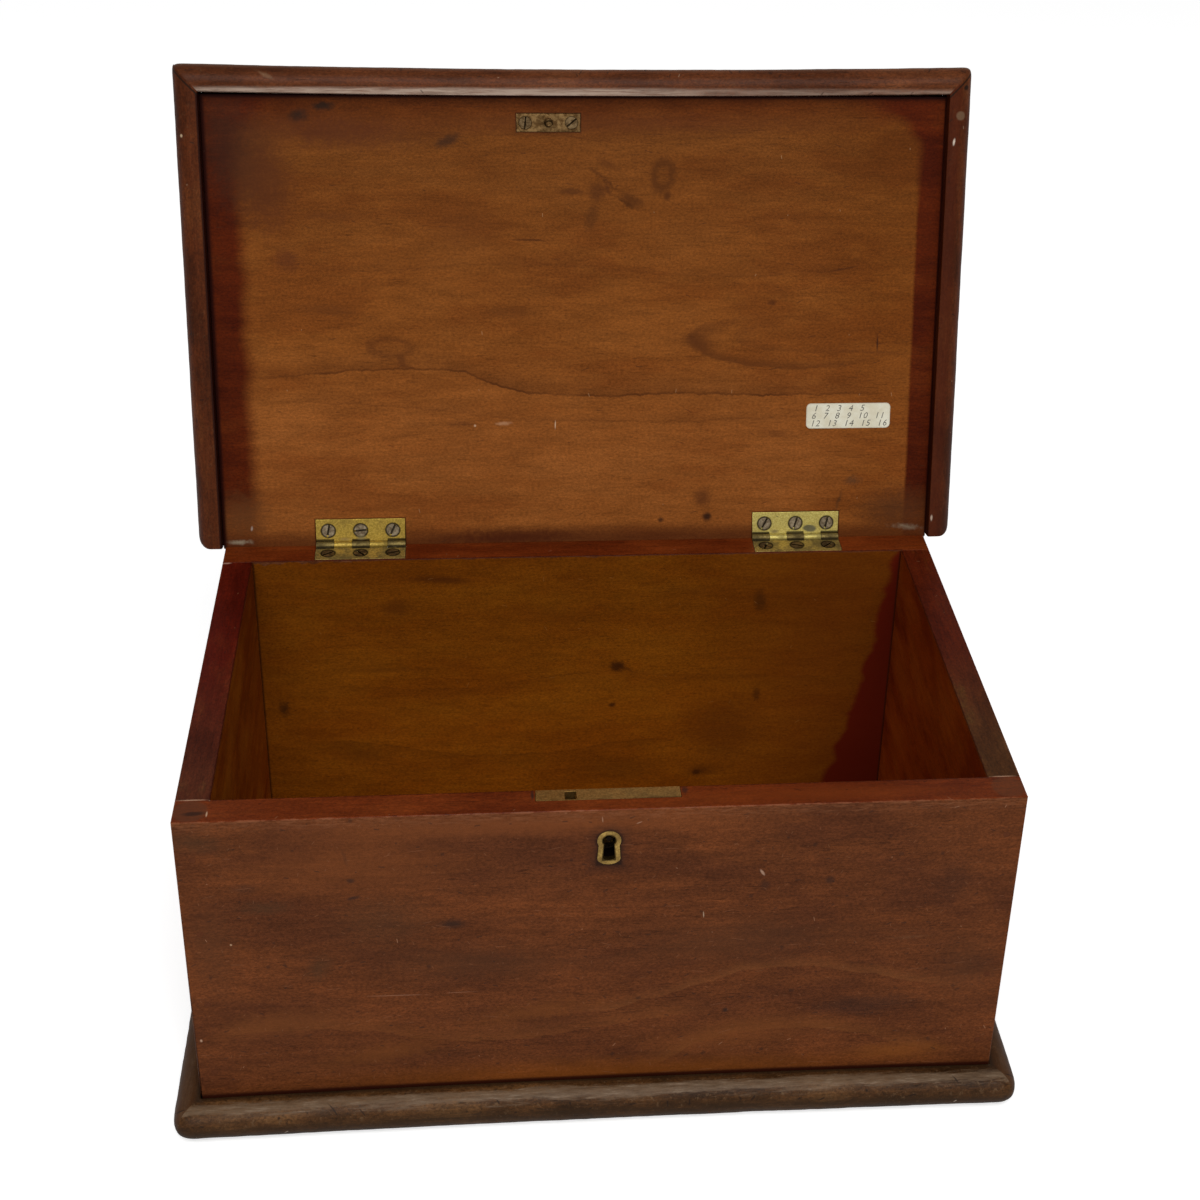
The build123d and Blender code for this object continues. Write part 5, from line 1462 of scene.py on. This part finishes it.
def place_piece(piece: bpy.types.Object, body: Body, slot: Slot, material: bpy.types.Material, *nodes: str) -> None:
    """Gives a new piece its body and finish, and lets it stand for CAD nodes."""
    piece.data.materials.clear()
    piece.data.materials.append(material)
    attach(piece, body.value)
    if nodes:
        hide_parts(*nodes)
    LOG.info("%s rides on %s, %d faces", piece.name, body.value, len(piece.data.polygons))


def dress_node(node: str, material: bpy.types.Material) -> None:
    """Gives a CAD node that stays its finish."""
    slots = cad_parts[node].data.materials
    slots.clear()
    slots.append(material)
    LOG.info("%s keeps its solid", node)


@dataclass
class EasedCopy:
    """A flat-faced piece with the solid's exact shape and its long sharp arrises eased."""

    node: str
    ease: float = 0.35
    least_length: float = 6.0
    least_angle: float = 60.0

    def build(self) -> bpy.types.Object:
        """Merges a copy of the solid's mesh and bevels its long arrises.

        Returns:
            The piece, named after its node.
        """
        bm = bmesh.new()
        bm.from_mesh(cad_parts[self.node].data)
        bmesh.ops.remove_doubles(bm, verts=bm.verts[:], dist=1e-6)
        bmesh.ops.dissolve_limit(bm, angle_limit=math.radians(0.5), verts=bm.verts[:], edges=bm.edges[:])
        arrises = [edge for edge in bm.edges if self.picks(edge)]
        bmesh.ops.bevel(
            bm, geom=arrises, offset=self.ease * MM, offset_type="OFFSET", segments=2, profile=0.5,
            affect="EDGES", clamp_overlap=False, material=-1,
        )
        return settle(bm, self.node + "_eased")

    def picks(self, edge: bmesh.types.BMEdge) -> bool:
        """Whether an edge is a long sharp outward arris."""
        if len(edge.link_faces) != 2 or not edge.is_convex:
            return False
        sharp = edge.calc_face_angle(0.0) > math.radians(self.least_angle)
        return sharp and edge.calc_length() > self.least_length * MM


@dataclass
class Moulding:
    """One worn, mitred length of half-round moulding, shaped along the foot or the closed lid."""

    name: str
    node: str
    side: Side
    body: Body
    inner_half: float
    inner_front: float
    rear: float
    foot_z: float
    bevelled: bool = False
    crown: float = 0.0
    corner_power: float = 3.1
    front_bow: float = 0.0
    rear_radius: float = 0.0
    wear: float = 0.22
    arc_segments: int = 40
    step: float = 1.3
    back_ease: float = 0.9
    bow_start: float = -60.0
    bow_length: float = 58.0
    free_reach: float = 3.0
    swell_scale: float = 0.035
    swell: float = 0.9
    dent_scale: float = 0.21
    dent: float = 0.5

    def section(self, bm: bmesh.types.BMesh) -> list[bmesh.types.BMFace]:
        """Draws the section, its back on x = 0 and its foot on y = 0.

        Args:
            bm: the empty bmesh.

        Returns:
            The section's one face, in a list.
        """
        p = PLAN
        radius = p.moulding_height / 2
        flat = p.moulding_reach - radius
        bmesh.ops.create_circle(bm, cap_ends=False, segments=self.arc_segments, radius=radius)
        bmesh.ops.delete(bm, geom=[v for v in bm.verts if v.co.x < -0.01], context="VERTS")
        bmesh.ops.translate(bm, vec=(flat, radius, 0.0), verts=bm.verts[:])
        ends = sorted((v for v in bm.verts if len(v.link_edges) == 1), key=lambda v: v.co.y)
        moved = [v for v in bmesh.ops.extrude_vert_indiv(bm, verts=ends)["verts"]]
        low, high = sorted(moved, key=lambda v: v.co.y)
        high.co = Vector((0.0, p.moulding_height, 0.0))
        low.co = Vector((0.0, 0.0, 0.0))
        if self.bevelled:
            low.co.x = flat - min(p.lip_bevel_width, flat - 0.05)
            rise = bmesh.ops.extrude_vert_indiv(bm, verts=[low])["verts"][0]
            rise.co = Vector((0.0, p.lip_bevel_height, 0.0))
        return bmesh.ops.contextual_create(bm, geom=bm.edges[:])["faces"]

    def build(self) -> bpy.types.Object:
        """Runs the section along its side, mitres it, rounds its corners and wears it.

        Returns:
            The piece.
        """
        bm = bmesh.new()
        faces = self.section(bm)
        outward = Vector(self.side.value)
        along = outward.cross(Vector((0.0, 0.0, 1.0)))
        reach = 2.0 * (self.inner_half + PLAN.moulding_reach)
        run = bmesh.ops.extrude_face_region(bm, geom=faces)["geom"]
        ends = [v for v in run if isinstance(v, bmesh.types.BMVert)]
        bmesh.ops.translate(bm, vec=(0.0, 0.0, reach), verts=ends)
        back_top = [e for e in bm.edges if self.is_back_top(e)]
        bmesh.ops.bevel(
            bm, geom=back_top, offset=self.back_ease, offset_type="OFFSET", segments=3, profile=0.5,
            affect="EDGES", clamp_overlap=False, material=-1,
        )
        rails = [e for e in bm.edges if e.calc_length() > reach / 2]
        bmesh.ops.subdivide_edges(bm, edges=rails, cuts=int(reach / self.step), use_grid_fill=False)
        bmesh.ops.translate(bm, vec=(0.0, 0.0, -reach / 2), verts=bm.verts[:])
        frame_axes = Matrix((outward, Vector((0.0, 0.0, 1.0)), along)).transposed().to_4x4()
        start = Vector((0.0, self.inner_front, self.foot_z))
        if self.side is not Side.FRONT:
            start = Vector((outward.x * self.inner_half, 0.0, self.foot_z))
        bmesh.ops.transform(bm, matrix=Matrix.Translation(start) @ frame_axes, verts=bm.verts[:])
        self.cut(bm)
        for vert in bm.verts:
            vert.co = self.worn(vert.co)
        bmesh.ops.scale(bm, vec=(MM, MM, MM), verts=bm.verts[:])
        bmesh.ops.recalc_face_normals(bm, faces=bm.faces[:])
        return settle(bm, self.name, PLAN.lid_turn() if self.body is Body.LID else None, sharp=40.0)

    def is_back_top(self, edge: bmesh.types.BMEdge) -> bool:
        """Whether an edge runs along the top of the back."""
        return all(v.co.x < 0.01 and v.co.y > PLAN.moulding_height - 0.01 for v in edge.verts)

    def cut(self, bm: bmesh.types.BMesh) -> None:
        """Cuts the mitres and the square rear end."""
        planes: list[tuple[Vector, Vector]] = []
        for sign in (-1.0, 1.0):
            corner = Vector((sign * self.inner_half, self.inner_front, 0.0))
            if self.side is Side.FRONT:
                planes.append((corner, Vector((sign, 1.0, 0.0))))
            elif sign == self.side.value[0]:
                planes.append((corner, Vector((-sign, -1.0, 0.0))))
        if self.side is not Side.FRONT:
            planes.append((Vector((0.0, self.rear, 0.0)), Vector((0.0, 1.0, 0.0))))
        for point, normal in planes:
            geom = bm.verts[:] + bm.edges[:] + bm.faces[:]
            made = bmesh.ops.bisect_plane(bm, geom=geom, dist=1e-4, plane_co=point, plane_no=normal, clear_outer=True)
            rim = [g for g in made["geom_cut"] if isinstance(g, bmesh.types.BMEdge)]
            bmesh.ops.contextual_create(bm, geom=rim)

    def worn(self, co: Vector) -> Vector:
        """Where a point of the sharp new moulding is after long use."""
        p = PLAN
        x, y, z = co
        outer_half = self.inner_half + p.moulding_reach
        out_x, out_y = abs(x) - self.inner_half, self.inner_front - y
        if out_x > 0.0 and out_y > 0.0:
            power = self.corner_power
            pull = max(out_x, out_y) / (out_x**power + out_y**power) ** (1.0 / power)
            x = math.copysign(self.inner_half + out_x * pull, x)
            y = self.inner_front - out_y * pull
        if self.front_bow > 0.0:
            lip = self.body is Body.LID and z < p.lid_z
            hang = min(1.0, max(0.0, (self.bow_start - y) / self.bow_length)) if lip else 0.0
            hang *= min(1.0, (p.lid_z - z) / p.lip_depth)
            y -= self.front_bow * (x / outer_half) ** 2 * max(hang, min(1.0, max(0.0, out_y / p.moulding_reach)))
        if self.rear_radius > 0.0:
            x, y = rounded_rear(x, y, outer_half, self.rear, self.rear_radius)
        level = (z - self.foot_z) / p.moulding_height
        if self.crown > 0.0:
            bow = 1.0 - (x / outer_half) ** 2
            z += self.crown * bow * min(1.0, max(0.0, level)) ** 1.5
        out = max(abs(x) - self.inner_half, self.inner_front - y)
        free = min(1.0, max(0.0, out / self.free_reach))
        low = noise.noise_vector(Vector((x, y, z)) * self.swell_scale)
        fine = noise.noise_vector(Vector((x, y, z)) * self.dent_scale)
        shift = (low * self.swell + fine * self.dent) * self.wear * free
        if z < 0.02 and self.body is Body.CASE:
            shift.z = max(0.0, shift.z)
        return Vector((x, y, z)) + shift


def rounded_rear(x: float, y: float, outer_half: float, rear: float, radius: float) -> tuple[float, float]:
    """Pulls a point that lies outside the rounded rear corner back onto its arc.

    Args:
        x: the point's x.
        y: the point's y.
        outer_half: the plan's half width.
        rear: the y of the moulding's rear end.
        radius: the corner's radius.

    Returns:
        The point's new x and y.
    """
    from_x, from_y = abs(x) - (outer_half - radius), y - (rear - radius)
    reach = math.hypot(from_x, from_y)
    if from_x <= 0.0 or from_y <= 0.0 or reach <= radius:
        return x, y
    keep = radius / reach
    return math.copysign(outer_half - radius + from_x * keep, x), rear - radius + from_y * keep


# ---------------------------------------------------------------- sub-assemblies
# Only the outer and upper arrises of a wall are rubbed, so the box that its wear is measured in goes on
# below its foot and past its inner face. A moulding's wear is in its shape, so its box is far off.
BELOW_FOOT = -40.0
PAST_INNER = 90.0
PAST_END = 5.0
FAR_LOW, FAR_HIGH = (-999.0,) * 3, (999.0,) * 3


@dataclass
class Carcase:
    """The box itself: four walls, the bottom and the moulding round its foot."""

    shared: Shared

    def build(self) -> None:
        """Builds and dresses the walls, the bottom, the foot and the nails."""
        p = PLAN
        sh = self.shared
        w, d = p.half_width, p.half_depth
        front = WoodSkin(
            "front_board_wood", (-w, -d, BELOW_FOOT), (w, -d + PAST_INNER, p.rim), sh, 1.0, (0.0, -70.0, 34.0), 4.6,
            marks=FRONT_MARKS, face_lines=FRONT_LINES, keyhole=True,
        )
        back = WoodSkin(
            "back_board_wood", (-w, d - PAST_INNER, BELOW_FOOT), (w, d, p.rim), sh, 2.3, (0.0, 190.0, 60.0), 5.2,
        )
        left = WoodSkin(
            "left_side_wood", (-w, -d - PAST_END, BELOW_FOOT), (-w + PAST_INNER, d + PAST_END, p.rim), sh, 3.7,
            (0.0, 250.0, 80.0), 4.0, grain_along_y=True, rim_tint=RIM_DARK, inner_tint=GOLDEN_BROWN,
        )
        right = WoodSkin(
            "right_side_wood", (w - PAST_INNER, -d - PAST_END, BELOW_FOOT), (w, d + PAST_END, p.rim), sh, 5.1,
            (0.0, -260.0, 70.0), 4.4, grain_along_y=True, rim_tint=RIM_DARK, inner_tint=GOLDEN_RED,
        )
        skins = {
            "front_board": dress_case_board(front), "back_board": dress_case_board(back, BACK_MARKS),
            "left_side": dress_case_board(left), "right_side": dress_case_board(right),
        }
        for node, material in skins.items():
            place_piece(EasedCopy(node).build(), Body.CASE, Slot.STAINED, material, node)
        bottom = WoodSkin(
            "bottom_board_wood", (-w, -d, 0.0), (w, d, p.bottom_thick), sh, 6.4, (0.0, 20.0, 90.0), 4.8, face=Face.TOP,
        )
        dress_node("bottom_board", dress_bottom(bottom))
        self.build_foot()
        iron = dress_metal("nail_iron_stained", NAIL_IRON, sh, False)
        for node in ("front_corner_nails", "back_corner_nails", "bottom_nails", "base_brads"):
            dress_node(node, iron)

    def build_foot(self) -> None:
        """The three lengths of the foot moulding."""
        p = PLAN
        for side in Side:
            name = side.name.lower()
            length = Moulding(
                f"foot_moulding_{name}", f"base_moulding_{name}", side, Body.CASE, p.half_width, -p.half_depth,
                p.half_depth, 0.0, crown=p.foot_crown if side is Side.FRONT else 0.0, front_bow=1.7,
            )
            skin = WoodSkin(
                f"foot_{name}_wood", FAR_LOW, FAR_HIGH, self.shared, 7.0 + len(name), (0.0, -60.0, 40.0), 3.0,
                grain_along_y=side is not Side.FRONT,
            )
            material = dress_foot(skin, length.crown, side)
            place_piece(length.build(), Body.CASE, Slot.MOULDING, material, length.node)


@dataclass(frozen=True)
class LabelText:
    """The label's rows of plain numbers and how they are set."""

    rows: Sequence[str] = ("1  2  3  4  5", "6  7  8  9  10  11", "12  13  14  15  16")
    shifts: Sequence[float] = (-5.2, -0.3, 0.2)
    top_y: float = 44.4
    pitch: float = 4.1
    size: float = 4.8
    spacing: float = 1.16
    slant: float = 0.25
    thick: float = 0.01
    below_panel: float = 0.215


@dataclass
class Lid:
    """The lid: its panel, the moulding round it and the paper label on its underside."""

    shared: Shared

    def build(self) -> None:
        """Builds and dresses the panel, the mouldings, the brads and the label."""
        p = PLAN
        panel = WoodSkin(
            "lid_panel_wood", (-p.lid_half, p.lid_front, p.lid_z), (p.lid_half, p.half_depth, p.lid_z + p.panel_thick),
            self.shared, 9.2, (0.0, 8.0, 330.0), 5.5, on_lid=True, marks=LID_MARKS, face=Face.TOP,
        )
        place_piece(
            EasedCopy("lid_panel", ease=0.3).build(), Body.LID, Slot.STAINED, dress_lid_panel(panel), "lid_panel",
        )
        foot = p.lid_z - p.lip_depth
        for side in Side:
            name = side.name.lower()
            length = Moulding(
                f"lid_edge_moulding_{name}", f"lid_moulding_{name}", side, Body.LID, p.lid_half, p.lid_front,
                p.half_depth - p.lid_end_short, foot, bevelled=True, corner_power=14.0 if side is Side.LEFT else 9.0,
                front_bow=2.1,
                rear_radius=p.lid_end_radius, wear=0.16,
            )
            skin = WoodSkin(
                f"lid_edge_{name}_wood", FAR_LOW, FAR_HIGH, self.shared, 11.0 + len(name), (0.0, -60.0, 140.0), 3.0,
                on_lid=True, grain_along_y=side is not Side.FRONT, face=Face.TOP, marks=EDGE_MARKS,
            )
            material = dress_lip(skin, side)
            place_piece(length.build(), Body.LID, Slot.MOULDING, material, length.node)
        dress_node("lid_brads", dress_metal("lid_brad_iron", NAIL_IRON, self.shared, True))
        dress_node("paper_label", dress_paper("label_paper_aged"))
        self.number_label()

    def number_label(self) -> None:
        """Three rows of plain numbers in faded ink on the label."""
        text = LabelText()
        ink = dress_ink("faded_ink")
        for index, row in enumerate(text.rows):
            curve = bpy.data.curves.new(f"label_row_{index + 1}", "FONT")
            curve.body = row
            curve.size = text.size * MM
            curve.space_character = text.spacing
            curve.shear = text.slant
            curve.extrude = text.thick * MM
            curve.resolution_u = 2
            curve.align_x = "CENTER"
            curve.align_y = "CENTER"
            holder = bpy.data.objects.new("label_row_holder", curve)
            bpy.context.scene.collection.objects.link(holder)
            bpy.context.view_layer.update()
            mesh = bpy.data.meshes.new_from_object(holder.evaluated_get(bpy.context.evaluated_depsgraph_get()))
            bpy.data.objects.remove(holder)
            turn = Matrix.Rotation(math.pi, 4, "X")
            across, down = PLAN.label_x + text.shifts[index], text.top_y + text.pitch * index
            spot = Vector((across, down, PLAN.lid_z - text.below_panel)) * MM
            mesh.transform(PLAN.lid_turn() @ Matrix.Translation(spot) @ turn)
            piece = bpy.data.objects.new(f"label_numbers_row_{index + 1}", mesh)
            bpy.context.scene.collection.objects.link(piece)
            place_piece(piece, Body.LID, Slot.PAPER, ink)


@dataclass
class Ironmongery:
    """The hinges, the lock, the link plate, the keyhole's liner and all the screws."""

    shared: Shared

    def build(self) -> None:
        """Eases the plates and dresses every metal part."""
        p = PLAN
        brass = dress_metal("hinge_brass_case", CASE_LEAF_SHADE_BRASS, self.shared, False, None, Recess.HINGE)
        lid_brass = dress_metal("hinge_brass_lid", HINGE_BRASS, self.shared, True, None, Recess.HINGE)
        pale_brass = dress_metal("hinge_brass_pale", PALE_BRASS, self.shared, True, None, Recess.HINGE)
        plain = dress_metal("hinge_brass_plain", HINGE_BRASS, self.shared, False)
        dull = dress_metal("lock_brass", DULL_BRASS, self.shared, False, None, Recess.SELVEDGE)
        lid_dull = dress_metal("link_brass", LINK_BRASS, self.shared, True, None, Recess.LINK)
        steel = dress_metal("screw_steel_case", DARK_STEEL, self.shared, False, p.rim, Recess.HINGE)
        lid_steel = dress_metal("screw_steel_lid", OLD_STEEL, self.shared, True, p.lid_z, Recess.HINGE)
        inner_steel = dress_metal("screw_steel_lock", DARK_STEEL, self.shared, False)
        pin_shade_iron = dress_metal("lock_iron_deep", PIN_SHADE_IRON, self.shared, False)
        eased = [
            ("left_hinge_case_leaf", Body.CASE, Slot.HINGE, brass),
            ("right_hinge_case_leaf", Body.CASE, Slot.HINGE, brass),
            ("left_hinge_lid_leaf", Body.LID, Slot.HINGE, lid_brass),
            ("right_hinge_lid_leaf", Body.LID, Slot.HINGE, pale_brass),
            ("link_plate", Body.LID, Slot.BRASS, lid_dull), ("lock_plate", Body.CASE, Slot.BRASS, dull),
        ]
        for node, body, slot, material in eased:
            place_piece(EasedCopy(node, ease=0.18, least_length=3.0).build(), body, slot, material, node)
        dress_node(
            "keyhole_escutcheon",
            dress_metal("escutcheon_brass", LINER_BRASS, self.shared, False, None, Recess.KEYHOLE),
        )
        for node in ("left_hinge_pin", "right_hinge_pin"):
            dress_node(node, plain)
        for node in ("lock_bolt", "lock_bolt_spring"):
            dress_node(node, dull)
        dress_node("lock_case", dress_metal("lock_brass_deep", LOCK_SHADE_BRASS, self.shared, False))
        dress_node("lock_link", lid_dull)
        for node in ("left_hinge_case_screws", "right_hinge_case_screws"):
            dress_node(node, steel)
        dress_node("lock_screws", inner_steel)
        dress_node("lock_drill_pin", pin_shade_iron)
        for node in ("left_hinge_lid_screws", "right_hinge_lid_screws"):
            dress_node(node, lid_steel)
        dress_node("link_plate_screws", dress_metal("screw_steel_dark", DARK_STEEL, self.shared, True, p.lid_z))


@dataclass
class Studio:
    """The pale floor, the soft light and the camera."""

    eye: tuple[float, float, float] = (-53.6, -810.0, 711.8)
    pitch: float = 29.21
    yaw: float = 6.34
    roll: float = 2.16
    focal_pixels: float = 2005.2
    centre_pixels: tuple[float, float] = (673.05, 514.89)
    frame_pixels: float = 1200.0
    sensor: float = 36.0
    floor_size: float = 14.0
    floor_gap: float = 0.0002
    floor_tone: Colour = (0.86, 0.86, 0.86)
    floor_rough: float = 0.9
    floor_glow: float = 0.5
    room_light: float = 0.35
    room_seen: float = 0.65
    lamp_place: tuple[float, float, float] = (0.0, -2.7, 3.3)
    lamp_aim: tuple[float, float, float] = (0.0, 0.0, 0.2)
    lamp_size: float = 3.2
    lamp_power: float = 135.0

    def build(self) -> None:
        """Sets up the floor, the world, the lamps, the view and the camera."""
        self.build_floor()
        self.build_world()
        self.add_lamp("key_lamp")
        self.build_camera()
        bpy.context.scene.view_settings.view_transform = "Standard"

    def build_floor(self) -> None:
        """A plain white floor that keeps the box's shadow."""
        bm = bmesh.new()
        bmesh.ops.create_grid(bm, x_segments=1, y_segments=1, size=self.floor_size / 2)
        bmesh.ops.translate(bm, vec=(0.0, 0.0, -self.floor_gap), verts=bm.verts[:])
        piece = settle(bm, "studio_floor")
        material, b = new_material("studio_floor_white")
        shader = b.put("BsdfPrincipled", {"Base Color": self.floor_tone, "Roughness": self.floor_rough})
        shader.inputs["Specular IOR Level"].default_value = 0.0
        path = b.put("LightPath").outputs
        seen = b.maths("MAXIMUM", path["Is Camera Ray"], path["Is Transmission Ray"])
        glow = b.put("Emission", {"Color": (1.0, 1.0, 1.0), "Strength": b.times(seen, self.floor_glow)})
        both = b.put("AddShader", {0: shader.outputs[0], 1: glow.outputs[0]})
        out = b.put("OutputMaterial")
        b.tree.links.new(both.outputs[0], out.inputs[0])
        piece.data.materials.append(material)

    def build_world(self) -> None:
        """A plain pale room, white where the camera sees it."""
        world = bpy.data.worlds.new("plain_room")
        bpy.context.scene.world = world
        world.use_nodes = True
        world.node_tree.nodes.clear()
        b = Bench(world.node_tree)
        path = b.put("LightPath").outputs
        seen = b.maths("MAXIMUM", path["Is Camera Ray"], path["Is Transmission Ray"])
        strength = b.plus(self.room_light, b.times(seen, self.room_seen))
        ground = b.put("Background", {"Color": (1.0, 1.0, 1.0), "Strength": strength})
        out = b.put("OutputWorld")
        b.tree.links.new(ground.outputs[0], out.inputs[0])

    def add_lamp(self, name: str) -> None:
        """A square soft lamp aimed at the box, in metres and watts."""
        light = bpy.data.lights.new(name, "AREA")
        light.energy = self.lamp_power
        light.size = self.lamp_size
        lamp = bpy.data.objects.new(name, light)
        bpy.context.scene.collection.objects.link(lamp)
        lamp.location = self.lamp_place
        aim = Vector(self.lamp_aim) - Vector(self.lamp_place)
        lamp.rotation_mode = "QUATERNION"
        lamp.rotation_quaternion = aim.to_track_quat("-Z", "Y")

    def build_camera(self) -> None:
        """The camera, with its place, turn, lens and shift."""
        pitch, yaw, roll = (math.radians(a) for a in (self.pitch, self.yaw, self.roll))
        ahead = Vector((math.sin(yaw) * math.cos(pitch), math.cos(yaw) * math.cos(pitch), -math.sin(pitch)))
        level = Vector((math.cos(yaw), -math.sin(yaw), 0.0))
        above = level.cross(ahead)
        right = math.cos(roll) * level + math.sin(roll) * above
        up = -math.sin(roll) * level + math.cos(roll) * above
        data = bpy.data.cameras.new("camera")
        data.sensor_width = self.sensor
        data.sensor_fit = "AUTO"
        data.lens = self.focal_pixels * self.sensor / self.frame_pixels
        data.shift_x = (self.frame_pixels / 2 - self.centre_pixels[0]) / self.frame_pixels
        data.shift_y = (self.centre_pixels[1] - self.frame_pixels / 2) / self.frame_pixels
        data.clip_start, data.clip_end = 0.01, 50.0
        camera = bpy.data.objects.new("camera", data)
        bpy.context.scene.collection.objects.link(camera)
        turn = Matrix((right, up, -ahead)).transposed().to_4x4()
        camera.matrix_world = Matrix.Translation(Vector(self.eye) * MM) @ turn
        bpy.context.scene.camera = camera


def main() -> None:
    """Builds the studio and the box's sub-assemblies in order."""
    logging.basicConfig(level=logging.INFO, format="%(message)s")
    noise.seed_set(WEAR_SEED)
    Studio().build()
    shared = Shared.build()
    Carcase(shared).build()
    Lid(shared).build()
    Ironmongery(shared).build()


if __name__ == "__main__":
    main()
